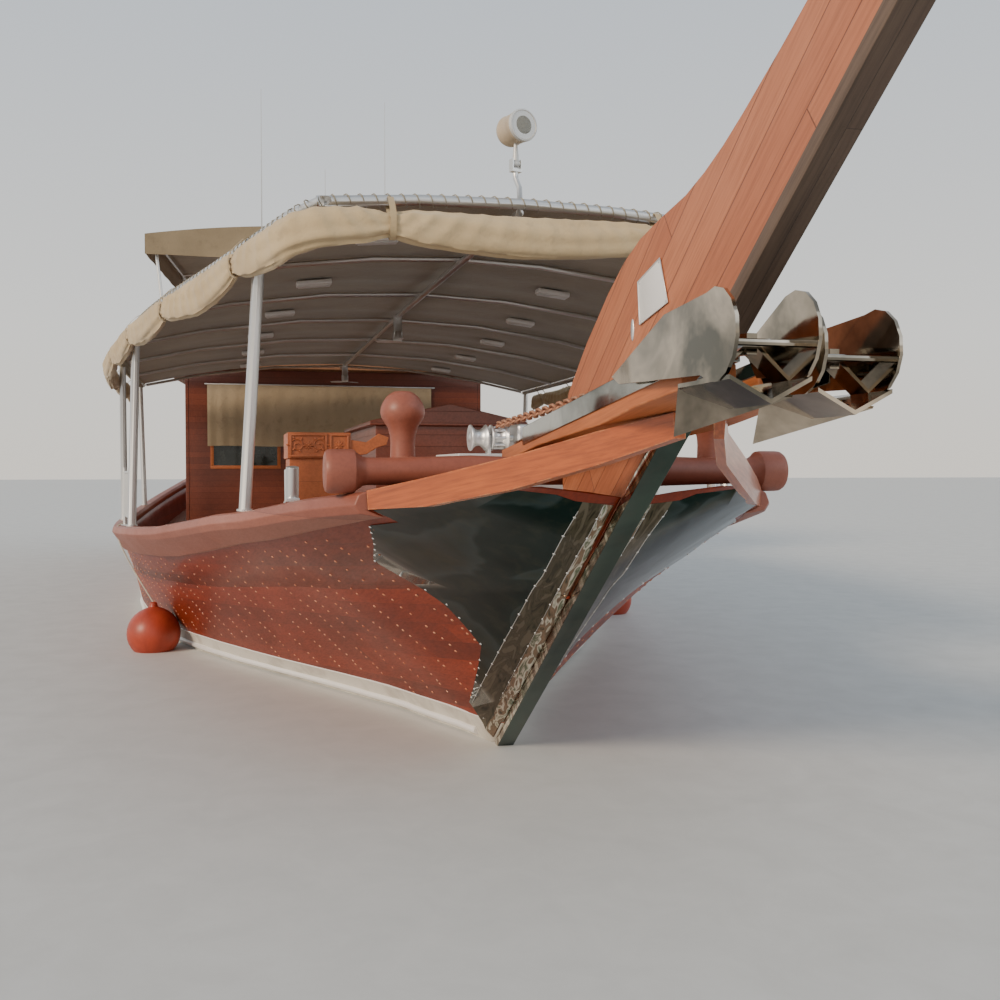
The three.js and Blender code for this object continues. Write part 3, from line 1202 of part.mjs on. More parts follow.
function buildPropeller() {
  const hub = turned([[0, -150], [40, -140], [78, -60], [86, 60], [86, 80], [0, 80]],
    16).rotateY(Math.PI / 2);
  const blades = Array.from({ length: 4 }, (_, i) => {
    const outline = [[0, 40], [90, 120], [150, 240], [120, 340], [40, PROPELLER_RADIUS], [-60, 350],
      [-110, 250],
      [-80, 120]];
    return extruded(outline, 14).translate(0, 0, -7).rotateX(Math.PI / 2).rotateZ(PITCH)
      .rotateX((i * Math.PI) / 2);
  });
  piece('propeller', fuse(hub, ...blades), 'bronze', point(PROPELLER_AHEAD, 0, PROPELLER_HEIGHT));
}

function buildRudder() {
  const top = underHull(RUDDER_AHEAD + 50);
  const v = (x, z) => [x - STEM_FOOT_X, z];
  const blade = sidePlate([v(90, HEEL_TOP + 40), v(110, -760), v(-120, top - 60), v(-620, top - 20),
    v(-760, HEEL_TOP + 90), v(-640, HEEL_TOP + 20), v(60, HEEL_TOP + 20)], -32, 32);
  const stock = rod(new THREE.Vector3(0, 0, HEEL_TOP + 40), new THREE.Vector3(0, 0, top - 1), 46, 14);
  const pintle = rod(new THREE.Vector3(0, 0, HEEL_TOP + 0.5), new THREE.Vector3(0, 0, HEEL_TOP + 60),
    30, 12);
  piece('rudder', fuse(blade, stock, pintle), 'keel_timber', point(RUDDER_AHEAD, 0, 0));
}

function buildFender(side) {
  const { ahead, height, radius, stand, tie } = FENDERS[side];
  let y = 0;
  for (let dx = -240; dx <= 240; dx += 40) {
    for (let dz = -240; dz <= 240; dz += 40) {
      const bulge = Math.sqrt(Math.max(radius * radius - dx * dx - dz * dz, 0));
      y = Math.max(y, halfBreadth(ahead + dx, height + dz) + bulge + stand);
    }
  }
  const sphere = new THREE.SphereGeometry(radius, 14, 10).rotateX(Math.PI / 2).translate(at(ahead),
    side * y, height);
  const eye = rod(point(ahead, side * y, height + radius - 20), point(ahead, side * y,
    height + radius + 70), 34, 10);
  const half = railHalf(tie);
  const top = railTop(tie);
  const spots = [[ahead, y, height + radius + 60], [tie, half + 112, top - 130], [tie, half + 104, top + 6],
    [tie, half - 20, top + 26]];
  const lanyard = bentBar(spots.map(([along, offset, z]) => point(along, side * offset, z)), 8, 6);
  piece(sideName('fender_ball', side), fuse(lanyard, sphere, eye), 'fender_red');
}

// Assembly.

buildHull();
buildKeel();
buildStem();
buildProw();
buildSheath();
buildPlating();
buildSternBulwark();
buildCrossBeam();
buildPlatform();
buildWindlass();
buildCompanion();
buildBench();
buildAwningRoof();
buildSearchlight();
FAN_AHEADS.forEach((ahead, i) => buildFan(ahead, `fan_${i + 1}`));
buildAwningCloth();
buildCurtains();
buildCabin();
buildUpperDeck();
buildUpperRail();
buildUpperAwning();
buildUpperFrame();
buildHelm();
buildLadder();
buildPropeller();
buildRudder();
[STARBOARD, PORT].forEach((side) => {
  buildBulwark(side);
  buildRail(side);
  buildForePlank(side);
  buildChute(side);
  buildAnchor(side);
  buildChain(side);
  buildBollards(side);
  buildAwningRail(side);
  buildGate(side);
  buildFender(side);
});

export default boat;
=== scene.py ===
"""Dresses the motor dhow: camera and studio, finishes, and the fine pieces that the solids leave out.

Lengths are metres in the shared frame: +X towards the bow, +Y to port, +Z up, and the water at zero.
The stem meets the water at ahead zero, which is x = STEM_FOOT.
"""

import logging
import math
import random
from collections.abc import Callable, Sequence
from dataclasses import dataclass, field
from enum import Enum

import bpy
import numpy as np
from mathutils import Matrix, Vector
from mathutils.bvhtree import BVHTree


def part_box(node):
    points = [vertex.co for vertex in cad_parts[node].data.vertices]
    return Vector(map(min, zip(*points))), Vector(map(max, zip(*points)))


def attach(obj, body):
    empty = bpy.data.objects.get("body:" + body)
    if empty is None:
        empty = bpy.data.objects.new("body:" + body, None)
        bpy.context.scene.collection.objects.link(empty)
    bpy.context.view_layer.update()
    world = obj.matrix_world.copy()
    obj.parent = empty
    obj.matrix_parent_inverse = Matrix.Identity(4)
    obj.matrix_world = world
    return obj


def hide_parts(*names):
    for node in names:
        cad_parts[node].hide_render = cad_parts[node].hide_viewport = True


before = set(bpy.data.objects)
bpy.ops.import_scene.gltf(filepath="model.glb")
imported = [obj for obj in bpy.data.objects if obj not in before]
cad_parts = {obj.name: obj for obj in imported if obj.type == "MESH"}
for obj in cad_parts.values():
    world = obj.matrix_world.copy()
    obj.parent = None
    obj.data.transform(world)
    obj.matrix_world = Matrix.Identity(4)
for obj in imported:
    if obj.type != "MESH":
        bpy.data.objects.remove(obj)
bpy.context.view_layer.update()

log = logging.getLogger("dhow")

Colour = tuple[float, float, float, float]
Point = tuple[float, float, float]
Piece = bpy.types.Object
Socket = bpy.types.NodeSocket
Walk = list[tuple[float, Vector, Vector, Vector]]
Crossing = tuple[Point, tuple[float, float]]

STEM_FOOT = 10.5
STEM_SLOPE = 0.718
SIDES = (-1, 1)
SEED = 4932

# The rows of planks rise past these places, forward and aft, by this much for each square metre of distance.
SHEER = {1: (0.5, 0.0042), -1: (-2.0, 0.0035)}


class Body(str, Enum):
    """The moving bodies that dressed pieces ride on."""

    BOAT = "boat"
    WHEEL = "helm_wheel"
    LAMP = "searchlight"
    FAN_1 = "fan_1"
    FAN_2 = "fan_2"
    PROPELLER = "propeller"
    RUDDER = "rudder"
    COMPANION_DOOR = "companion_door"
    CABIN_DOOR_PORT = "cabin_door_port"
    CABIN_DOOR_STARBOARD = "cabin_door_starboard"
    GATE_PORT = "boarding_gate_port"
    GATE_STARBOARD = "boarding_gate_starboard"


def side_name(stem: str, side: int) -> str:
    """Returns a name with its side at the end: 1 for port, -1 for starboard."""
    return f"{stem}_{'port' if side > 0 else 'starboard'}"


def at(ahead: float) -> float:
    """Returns the x of a place that many metres ahead of the stem's foot."""
    return STEM_FOOT + ahead


def tint(code: str) -> Colour:
    """Turns a six-figure display colour into a linear one.

    Args:
        code: Red, green and blue as two hexadecimal figures each.

    Returns:
        The linear colour with full alpha.
    """
    shares = [int(code[i : i + 2], 16) / 255 for i in (0, 2, 4)]
    linear = [s / 12.92 if s <= 0.04045 else ((s + 0.055) / 1.055) ** 2.4 for s in shares]
    return (linear[0], linear[1], linear[2], 1.0)


def dimmed(colour: Colour, share: float) -> Colour:
    """Returns a share of a colour's light."""
    return (share * colour[0], share * colour[1], share * colour[2], 1.0)


# Modelling by hand, in short calls.


def clear_choice() -> None:
    """Leaves edit mode and deselects every object."""
    if bpy.context.object is not None and bpy.context.object.mode != "OBJECT":
        bpy.ops.object.mode_set(mode="OBJECT")
    bpy.ops.object.select_all(action="DESELECT")


def fresh(add: Callable, **values: object) -> Piece:
    """Adds a new object by one of the add operators.

    Args:
        add: The operator.
        **values: What it takes.

    Returns:
        The new object.
    """
    clear_choice()
    add(**values)
    return bpy.context.active_object


def choose(*pieces: Piece) -> None:
    """Selects only these objects, the first of them active.

    Args:
        *pieces: The objects.
    """
    clear_choice()
    for piece in pieces:
        piece.select_set(True)
    bpy.context.view_layer.objects.active = pieces[0]


def settle(piece: Piece, name: str | None = None) -> Piece:
    """Moves an object's place into its mesh, so that the object stands at the origin.

    Args:
        piece: The object to settle.
        name: Its new name, if it gets one.

    Returns:
        The same object.
    """
    choose(piece)
    if piece.type != "MESH":
        bpy.ops.object.convert(target="MESH")
        piece = bpy.context.active_object
    bpy.ops.object.transform_apply(location=True, rotation=True, scale=True)
    if name:
        piece.name = name
        piece.data.name = name
    return piece


def moved(piece: Piece, place: Matrix) -> Piece:
    """Moves a mesh that was made at the origin."""
    piece.matrix_world = place
    return settle(piece)


def finish_with(piece: Piece, kind: str, **values: object) -> Piece:
    """Adds one modifier with its values and applies it.

    Args:
        piece: The mesh object.
        kind: The modifier's type.
        **values: The modifier's settings.

    Returns:
        The same object.
    """
    choose(piece)
    modifier = piece.modifiers.new(kind.lower(), kind)
    for key, value in values.items():
        setattr(modifier, key, value)
    bpy.ops.object.modifier_apply(modifier=modifier.name)
    return piece


def smooth(piece: Piece, degrees: float = 35) -> Piece:
    """Shades a piece smooth, with sharp edges past an angle.

    Args:
        piece: The mesh object.
        degrees: The least angle of a sharp edge.

    Returns:
        The same object.
    """
    choose(piece)
    bpy.ops.object.shade_smooth_by_angle(angle=math.radians(degrees))
    return piece


def soften(piece: Piece, edge: float, rounds: int = 2, degrees: float = 30) -> Piece:
    """Rounds a piece's sharp edges and shades it smooth.

    Args:
        piece: The mesh object.
        edge: The width of the rounding.
        rounds: How many faces it has across.
        degrees: The least angle of an edge that is rounded.

    Returns:
        The same object.
    """
    finish_with(
        piece, "BEVEL", width=edge, segments=rounds, limit_method="ANGLE", angle_limit=math.radians(degrees)
    )
    return smooth(piece, degrees)


def edit_all(piece: Piece, steps: Callable[[], None]) -> Piece:
    """Runs some edit mode steps on the whole of a mesh.

    Args:
        piece: The mesh object.
        steps: What to run.

    Returns:
        The same object.
    """
    choose(piece)
    bpy.ops.object.mode_set(mode="EDIT")
    bpy.ops.mesh.select_all(action="SELECT")
    steps()
    bpy.ops.object.mode_set(mode="OBJECT")
    return piece


def face_out() -> None:
    """Turns every face outwards, in edit mode."""
    bpy.ops.mesh.normals_make_consistent(inside=False)


def block(name: str, low: Point, high: Point, edge: float = 0.006, rounds: int = 2) -> Piece:
    """Makes a block between two corners, with its edges rounded.

    Args:
        name: The piece's name.
        low: Its lowest corner.
        high: Its highest corner.
        edge: The width of the rounding.
        rounds: How many faces the rounding has across.

    Returns:
        The new object.
    """
    middle = [(a + b) / 2 for a, b in zip(low, high)]
    size = [b - a for a, b in zip(low, high)]
    piece = fresh(bpy.ops.mesh.primitive_cube_add, size=1, location=middle, scale=size)
    return soften(settle(piece, name), min(edge, 0.45 * min(size)), rounds)


def rod(name: str, start: Point, end: Point, radius: float, sides: int = 16) -> Piece:
    """Makes a straight bar with slightly rounded ends between two points.

    Args:
        name: The piece's name.
        start: The middle of one end.
        end: The middle of the other.
        radius: The bar's radius.
        sides: How many sides it has.

    Returns:
        The new object.
    """
    a, b = Vector(start), Vector(end)
    turn = (b - a).to_track_quat("Z", "Y").to_euler()
    piece = fresh(
        bpy.ops.mesh.primitive_cylinder_add, vertices=sides, radius=radius, depth=(b - a).length,
        location=(a + b) / 2, rotation=turn,
    )
    return soften(settle(piece, name), radius * 0.15, 1, 50)


def turned(
    name: str,
    profile: Sequence[tuple[float, float]],
    foot: Point = (0, 0, 0),
    axis: Point = (0, 0, 1),
    sides: int = 32,
    sharp: float = 40,
) -> Piece:
    """Makes a turned body by extruding and resizing a ring along its profile.

    Args:
        name: The piece's name.
        profile: Rows of radius and height, from the foot to the head, with no radius zero.
        foot: The place of height zero.
        axis: The direction of height.
        sides: How many sides the ring has.
        sharp: The angle past which an edge stays sharp.

    Returns:
        The new object.
    """
    (start, foot_height), circle = profile[0], bpy.ops.mesh.primitive_circle_add
    piece = fresh(circle, vertices=sides, radius=start, fill_type="NGON", location=(0, 0, foot_height))
    bpy.ops.object.transform_apply(location=True, rotation=True, scale=True)
    bpy.ops.object.mode_set(mode="EDIT")
    bpy.ops.mesh.select_all(action="SELECT")
    for (radius, height), (wide, high) in zip(profile, profile[1:]):
        bpy.ops.mesh.extrude_region_move(TRANSFORM_OT_translate={"value": (0, 0, high - height)})
        share = wide / radius
        bpy.ops.transform.resize(value=(share, share, 1), center_override=(0, 0, high))
    bpy.ops.mesh.select_all(action="SELECT")
    face_out()
    bpy.ops.object.mode_set(mode="OBJECT")
    piece.rotation_euler = Vector(axis).to_track_quat("Z", "Y").to_euler()
    piece.location = foot
    return smooth(settle(piece, name), sharp)


def swept(
    name: str,
    route: Sequence[Point],
    radius: float,
    sides: int = 3,
    closed: bool = False,
    curved: bool = False,
) -> Piece:
    """Makes a bar or line of even thickness along a route.

    Args:
        name: The piece's name.
        route: The points that it follows.
        radius: Its radius.
        sides: The bevel resolution of its round.
        closed: Whether it joins up with its start.
        curved: Whether it runs smoothly through the points.

    Returns:
        The new mesh object.
    """
    curve = bpy.data.curves.new(name, "CURVE")
    curve.dimensions = "3D"
    curve.resolution_u = 4
    spline = curve.splines.new("NURBS" if curved else "POLY")
    spline.points.add(len(route) - 1)
    for spot, place in zip(spline.points, route):
        spot.co = (*place, 1)
    spline.use_cyclic_u = closed
    if curved:
        spline.order_u = 4
        spline.use_endpoint_u = not closed
    curve.bevel_depth = radius
    curve.bevel_resolution = sides
    curve.use_fill_caps = not closed
    piece = bpy.data.objects.new(name, curve)
    bpy.context.scene.collection.objects.link(piece)
    piece = settle(piece, name)
    return smooth(piece, 60)


def join(name: str, pieces: Sequence[Piece]) -> Piece:
    """Joins several meshes into one and names it.

    Args:
        name: The joined piece's name.
        pieces: The meshes.

    Returns:
        The joined object.
    """
    choose(*pieces)
    if len(pieces) > 1:
        bpy.ops.object.join()
    piece = bpy.context.active_object
    piece.name = name
    piece.data.name = name
    return piece


def scattered(name: str, model: Piece, places: Sequence[Matrix]) -> Piece:
    """Makes one mesh of many copies of a model, and removes the model.

    Args:
        name: The new piece's name.
        model: A small mesh made at the origin.
        places: Where each copy stands.

    Returns:
        The new object.
    """
    mesh = model.data
    count = len(mesh.vertices)
    flat = np.zeros(count * 3)
    mesh.vertices.foreach_get("co", flat)
    corners = np.concatenate([flat.reshape(-1, 3), np.ones((count, 1))], axis=1)
    faces = [tuple(p.vertices) for p in mesh.polygons]
    spots = np.concatenate([(corners @ np.array(m).T)[:, :3] for m in places])
    rows = [tuple(v + count * n for v in face) for n in range(len(places)) for face in faces]
    joined = bpy.data.meshes.new(name)
    joined.from_pydata(spots.tolist(), [], rows)
    joined.update()
    piece = bpy.data.objects.new(name, joined)
    bpy.context.scene.collection.objects.link(piece)
    bpy.data.objects.remove(model)
    return smooth(piece, 50)


# Shader graphs.


class Graph:
    """A node tree that is filled by short calls."""

    def __init__(self, tree: bpy.types.NodeTree) -> None:
        """Takes the tree to fill."""
        self.tree = tree

    def add(self, kind: str, inputs: dict | None = None, **settings: object) -> bpy.types.Node:
        """Adds one node.

        Args:
            kind: The node's type name.
            inputs: Values or links, by the socket's name or number.
            **settings: The node's own settings.

        Returns:
            The new node.
        """
        node = self.tree.nodes.new(kind)
        for key, value in settings.items():
            setattr(node, key, value)
        self.fill(node, inputs or {})
        return node

    def fill(self, node: bpy.types.Node, inputs: dict) -> None:
        """Links a node's sockets to others, or sets their values.

        Args:
            node: The node.
            inputs: What each socket gets.
        """
        for key, value in inputs.items():
            if isinstance(value, Socket):
                self.tree.links.new(value, node.inputs[key])
            else:
                node.inputs[key].default_value = value

    def math(self, operation: str, a: object, b: object = 0.0, c: object = 0.0) -> Socket:
        """Returns the result of one sum on values."""
        return self.add("ShaderNodeMath", {0: a, 1: b, 2: c}, operation=operation).outputs[0]

    def times(self, a: object, b: object, more: object = 0.0) -> Socket:
        """Returns the product of two values, plus a third."""
        return self.math("MULTIPLY_ADD", a, b, more)

    def less(self, a: object, b: object) -> Socket:
        """Returns the first value less the second."""
        return self.math("SUBTRACT", a, b)

    def over(self, a: object, b: object) -> Socket:
        """Returns the first value divided by the second."""
        return self.math("DIVIDE", a, b)

    def vectors(self, operation: str, a: object, b: object) -> bpy.types.Node:
        """Returns the node of one sum on vectors."""
        return self.add("ShaderNodeVectorMath", {0: a, 1: b}, operation=operation)

    def dot(self, vector: object, direction: Sequence[float]) -> Socket:
        """Returns how far a vector reaches along a direction."""
        return self.vectors("DOT_PRODUCT", vector, tuple(direction)).outputs["Value"]

    def split(self, vector: object) -> list[Socket]:
        """Returns a vector's three values."""
        return list(self.add("ShaderNodeSeparateXYZ", {0: vector}).outputs)

    def join(self, x: object, y: object, z: object = 0.0) -> Socket:
        """Returns a vector made of three values."""
        return self.add("ShaderNodeCombineXYZ", {0: x, 1: y, 2: z}).outputs[0]

    def mix(self, share: object, a: object, b: object) -> Socket:
        """Returns a mix of two colours."""
        return self.add("ShaderNodeMix", {0: share, 6: a, 7: b}, data_type="RGBA").outputs[2]

    def range(self, value: object, low: float, high: float) -> Socket:
        """Returns how far a value is from one limit to the other, with smooth ends."""
        inputs = {0: value, 1: low, 2: high, 3: 0.0, 4: 1.0}
        return self.add("ShaderNodeMapRange", inputs, interpolation_type="SMOOTHSTEP").outputs[0]

    def ramp(self, value: object, *stops: tuple[float, str]) -> Socket:
        """Returns a colour read from a row of stops.

        Args:
            value: Where to read.
            *stops: Each stop's place and colour code.
        """
        node = self.add("ShaderNodeValToRGB", {0: value})
        band = node.color_ramp
        while len(band.elements) < len(stops):
            band.elements.new(0.5)
        for element, (place, code) in zip(band.elements, stops):
            element.position = place
            element.color = tint(code)
        return node.outputs[0]

    def noise(
        self, vector: object, scale: object, detail: float = 3.0, rough: float = 0.55, twist: float = 0.0
    ) -> Socket:
        """Returns cloudy noise over a vector."""
        inputs = {"Vector": vector, "Scale": scale, "Detail": detail, "Roughness": rough, "Distortion": twist}
        return self.add("ShaderNodeTexNoise", inputs).outputs[0]

    def random(self, sockets: dict, dimensions: str) -> Socket:
        """Returns a random value for each input."""
        return self.add("ShaderNodeTexWhiteNoise", sockets, noise_dimensions=dimensions).outputs[0]

    def effect(self, name: str, **inputs: object) -> list[Socket]:
        """Places a shared effect with its own values, and returns its results."""
        return list(self.add("ShaderNodeGroup", inputs, node_tree=bpy.data.node_groups[name]).outputs)

    def place(self) -> Socket:
        """Returns the coordinates in the shared frame."""
        return self.add("ShaderNodeTexCoord").outputs["Object"]

    def patch(self, scale: float, low: float, high: float) -> Socket:
        """Returns cloudy patches over the shared frame."""
        return self.effect("weather", Vector=self.place(), Scale=scale, Low=low, High=high)[0]

    def bump(self, height: object, depth: float, strength: float) -> Socket:
        """Returns a normal that a height bends."""
        inputs = {"Height": height, "Distance": depth, "Strength": strength}
        return self.add("ShaderNodeBump", inputs).outputs[0]


def build_effect(name: str, inputs: dict[str, float], steps: Callable[[Graph, dict], dict]) -> None:
    """Makes a shared shader effect, kept as a node group with named sockets.

    Args:
        name: The effect's name.
        inputs: The values that it takes besides its vector, with what they are when nothing is given.
        steps: Takes the graph and the input sockets by name, and returns the outputs by name.
    """
    tree = bpy.data.node_groups.new(name, "ShaderNodeTree")
    tree.interface.new_socket(name="Vector", in_out="INPUT", socket_type="NodeSocketVector")
    for title, value in inputs.items():
        socket = tree.interface.new_socket(name=title, in_out="INPUT", socket_type="NodeSocketFloat")
        socket.default_value = value
    entry = tree.nodes.new("NodeGroupInput")
    graph = Graph(tree)
    results = steps(graph, {socket.name: socket for socket in entry.outputs if socket.name})
    for title in results:
        tree.interface.new_socket(name=title, in_out="OUTPUT", socket_type="NodeSocketFloat")
    graph.fill(tree.nodes.new("NodeGroupOutput"), results)


def build_effects() -> None:
    """Makes the shared effects: boards, grain, weather, weave and worn edges."""

    def boards(graph: Graph, given: dict) -> dict:
        """Rows of boards with seams between them and butt joints along them.

        Args:
            graph: The effect's nodes.
            given: Its inputs.

        Returns:
            Its outputs.
        """
        along, across, _ = graph.split(given["Vector"])
        across = graph.over(across, given["Pitch"])
        row = graph.math("FLOOR", across)
        along = graph.math("ADD", graph.over(along, given["Length"]), graph.random({"W": row}, "1D"))
        tone = graph.random({"Vector": graph.join(row, graph.math("FLOOR", along))}, "3D")
        edge = graph.times(graph.math("PINGPONG", across, 0.5), given["Pitch"])
        end = graph.times(graph.math("PINGPONG", along, 0.5), given["Length"])
        near = graph.math("MINIMUM", edge, end)
        seam = graph.less(1.0, graph.over(near, graph.times(given["Seam"], 0.5)))
        return {"Seam": graph.math("MAXIMUM", seam, 0.0), "Tone": tone}

    def grain(graph: Graph, given: dict) -> dict:
        """Fine streaks along the wood, and a broad figure that wanders with them.

        Args:
            graph: The effect's nodes.
            given: Its inputs.

        Returns:
            Its outputs.
        """
        place = graph.vectors("MULTIPLY", given["Vector"], (0.045, 1.0, 1.0)).outputs[0]
        fine = graph.noise(place, given["Scale"], 4.0, 0.65)
        broad = graph.noise(place, graph.times(given["Scale"], 0.13), 2.0, 0.5, 1.2)
        return {"Streak": fine, "Figure": broad}

    def weather(graph: Graph, given: dict) -> dict:
        """Cloudy patches, held between two limits.

        Args:
            graph: The effect's nodes.
            given: Its inputs.

        Returns:
            Its outputs.
        """
        cloud = graph.noise(given["Vector"], given["Scale"], 5.0, 0.6, 0.4)
        share = graph.over(graph.less(cloud, given["Low"]), graph.less(given["High"], given["Low"]))
        return {"Patch": graph.add("ShaderNodeClamp", {0: share}).outputs[0]}

    def weave(graph: Graph, given: dict) -> dict:
        """Over and under threads, with a tone that differs from thread to thread.

        Args:
            graph: The effect's nodes.
            given: Its inputs.

        Returns:
            Its outputs.
        """
        x, y, _ = graph.split(given["Vector"])
        warp, weft = (graph.times(value, given["Threads"]) for value in (x, y))
        over, under = (graph.math("SINE", graph.times(value, math.pi)) for value in (warp, weft))
        height = graph.times(graph.times(over, under), 0.5, 0.5)
        slub = graph.noise(graph.join(graph.math("FLOOR", warp), graph.times(weft, 0.02)), 3.0, 1.0)
        return {"Height": height, "Thread": slub}

    def wear(graph: Graph, given: dict) -> dict:
        """Marks worn corners, where the surface bends away within the given reach.

        Args:
            graph: The effect's nodes.
            given: Its inputs.

        Returns:
            Its outputs.
        """
        round_normal = graph.add("ShaderNodeBevel", {"Radius": given["Reach"]}, samples=4).outputs[0]
        flat_normal = graph.add("ShaderNodeNewGeometry").outputs["Normal"]
        facing = graph.vectors("DOT_PRODUCT", round_normal, flat_normal).outputs["Value"]
        cloud = graph.noise(given["Vector"], 14.0, 4.0, 0.7)
        return {"Worn": graph.times(graph.range(facing, 0.99, 0.88), graph.range(cloud, 0.42, 0.62))}

    build_effect("boards", {"Pitch": 0.15, "Length": 3.0, "Seam": 0.004}, boards)
    build_effect("grain", {"Scale": 40.0}, grain)
    build_effect("weather", {"Scale": 1.0, "Low": 0.4, "High": 0.65}, weather)
    build_effect("weave", {"Threads": 400.0}, weave)
    build_effect("wear", {"Reach": 0.01}, wear)


class Finish:
    """What every finish shares: one material, made the first time that it is asked for."""

    name: str
    slot: str

    def material(self) -> bpy.types.Material:
        """Returns the finish's material, made once."""
        material = bpy.data.materials.get(self.name)
        if material is None:
            material = bpy.data.materials.new(self.name)
            material.use_nodes = True
            graph = Graph(material.node_tree)
            shader = next(node for node in graph.tree.nodes if node.type == "BSDF_PRINCIPLED")
            graph.fill(shader, self.shade(graph))
        return material

    def shade(self, graph: Graph) -> dict:
        """Returns the shader's values and links, by socket. Each finish has its own."""
        raise NotImplementedError


@dataclass(frozen=True)
class Timber(Finish):
    """Boarded or solid wood under varnish, oil or paint."""

    name: str
    slot: str
    light: str
    dark: str
    along: Point = (1, 0, 0)
    across: Point = (0, 0, 1)
    pitch: float = 0.15
    length: float = 4.0
    seam: float = 0.004
    rough: float = 0.4
    coat: float = 0.0
    grain: float = 0.35
    worn: str = ""
    grooved: float = 1.0
    specular: float = 0.5
    mirrored: bool = False

    def pattern(self, graph: Graph) -> Socket:
        """Returns coordinates along, across and through the boards, the same on both sides if mirrored.

        Args:
            graph: The material's nodes.
        """
        place = graph.place()
        if self.mirrored:
            x, y, z = graph.split(place)
            place = graph.join(x, graph.math("ABSOLUTE", y), z)
        along, across = Vector(self.along), Vector(self.across)
        ways = (along, across, along.cross(across))
        return graph.join(*(graph.dot(place, way.normalized()) for way in ways))

    def paint(self, graph: Graph) -> tuple[Socket, Socket, Socket]:
        """Returns the wood's colour, roughness and height.

        Args:
            graph: The material's nodes.
        """
        light, dark = tint(self.light), tint(self.dark)
        pattern = self.pattern(graph)
        sizes = {"Pitch": self.pitch, "Length": self.length, "Seam": self.seam}
        seam, tone = graph.effect("boards", Vector=pattern, **sizes)
        drift = graph.join(graph.times(tone, 7.0), graph.times(tone, 3.0))
        drifted = graph.vectors("ADD", pattern, drift).outputs[0]
        streak, figure = graph.effect("grain", Vector=drifted, Scale=55.0)
        patch = graph.patch(0.9, 0.35, 0.7)
        share = graph.times(figure, 0.5, graph.times(tone, 0.45))
        share = graph.times(patch, 0.3, graph.less(share, 0.2))
        colour = graph.mix(share, light, dark)
        shade = graph.times(graph.range(streak, 0.35, 0.75), self.grain)
        colour = graph.mix(shade, colour, dimmed(dark, 0.35))
        if self.worn:
            worn = graph.effect("wear", Vector=graph.place(), Reach=0.012)[0]
            colour = graph.mix(graph.times(worn, 0.7), colour, tint(self.worn))
        seam = graph.times(seam, self.grooved)
        colour = graph.mix(graph.times(seam, 0.85), colour, dimmed(dark, 0.15))
        rough = graph.times(patch, 0.1, graph.times(streak, 0.12, self.rough - 0.06))
        return colour, rough, graph.times(streak, 0.12, graph.less(1.0, seam))

    def shade(self, graph: Graph) -> dict:
        """Returns the shader's values and links.

        Args:
            graph: The material's nodes.
        """
        colour, rough, height = self.paint(graph)
        return {
            "Base Color": colour, "Roughness": rough, "Specular IOR Level": self.specular,
            "Coat Weight": self.coat, "Coat Roughness": 0.12, "Normal": graph.bump(height, 0.003, 0.5),
        }


@dataclass(frozen=True)
class HullTimber(Timber):
    """Varnished planking with its white band at the water and dark paint below."""

    band: tuple[str, str] = ("d6d1c6", "a9a196")
    below: tuple[str, str] = ("241c1a", "35302a")
    band_low: float = -0.01
    band_high: float = 0.215

    def pattern(self, graph: Graph) -> Socket:
        """Returns coordinates whose rows follow the sheer, up towards the bow and the stern.

        Args:
            graph: The material's nodes.
        """
        x, y, z = graph.split(graph.place())
        for way, (start, bend) in SHEER.items():
            past = graph.math("MAXIMUM", graph.times(graph.less(x, start), way), 0.0)
            z = graph.less(z, graph.times(graph.times(past, past), bend))
        return graph.join(x, z, y)

    def shade(self, graph: Graph) -> dict:
        """Returns the shader's values and links.

        Args:
            graph: The material's nodes.
        """
        colour, rough, height = self.paint(graph)
        level = graph.split(graph.place())[2]
        stain = graph.patch(3.0, 0.45, 0.75)
        painted = graph.range(level, self.band_high + 0.003, self.band_high - 0.003)
        sunk = graph.range(level, self.band_low + 0.002, self.band_low - 0.002)
        for share, colours in ((painted, self.band), (sunk, self.below)):
            colour = graph.mix(share, colour, graph.mix(stain, *map(tint, colours)))
        return {
            "Base Color": colour, "Roughness": rough, "Specular IOR Level": self.specular,
            "Coat Weight": graph.times(painted, -self.coat, self.coat), "Coat Roughness": 0.16,
            "Normal": graph.bump(height, 0.002, 0.35),
        }


@dataclass(frozen=True)
class Steel(Finish):
    """Polished plate or tube, smudged and faintly dented, with painted reflections as light and dark patches
    in its colour.
    """

    name: str
    slot: str
    light: str = "c9c8c2"
    dark: str = "8f908a"
    rough: float = 0.08
    dents: float = 0.25
    stain: str = ""
    scale: float = 1.2

    def shade(self, graph: Graph) -> dict:
        """Returns the shader's values and links.

        Args:
            graph: The material's nodes.
        """
        place = graph.place()
        # Painted reflection: cloudy patches between the light and the dark colour stand in for what the
        # polished steel would mirror.
        colour = graph.mix(graph.patch(self.scale, 0.4, 0.62), tint(self.light), tint(self.dark))
        smudge = graph.patch(6.0, 0.5, 0.8)
        if self.stain:
            colour = graph.mix(graph.times(smudge, 0.6), colour, tint(self.stain))
        brushed = graph.join(graph.dot(place, (1, 0, 0)), graph.dot(place, (0, 30, 0)))
        scratch = graph.noise(brushed, 30.0, 2.0)
        height = graph.times(scratch, 0.01, graph.noise(place, 2.2, 2.0, 0.4))
        return {
            "Base Color": colour, "Metallic": 1.0, "Roughness": graph.times(smudge, 0.14, self.rough),
            "Normal": graph.bump(height, 0.02, self.dents),
        }


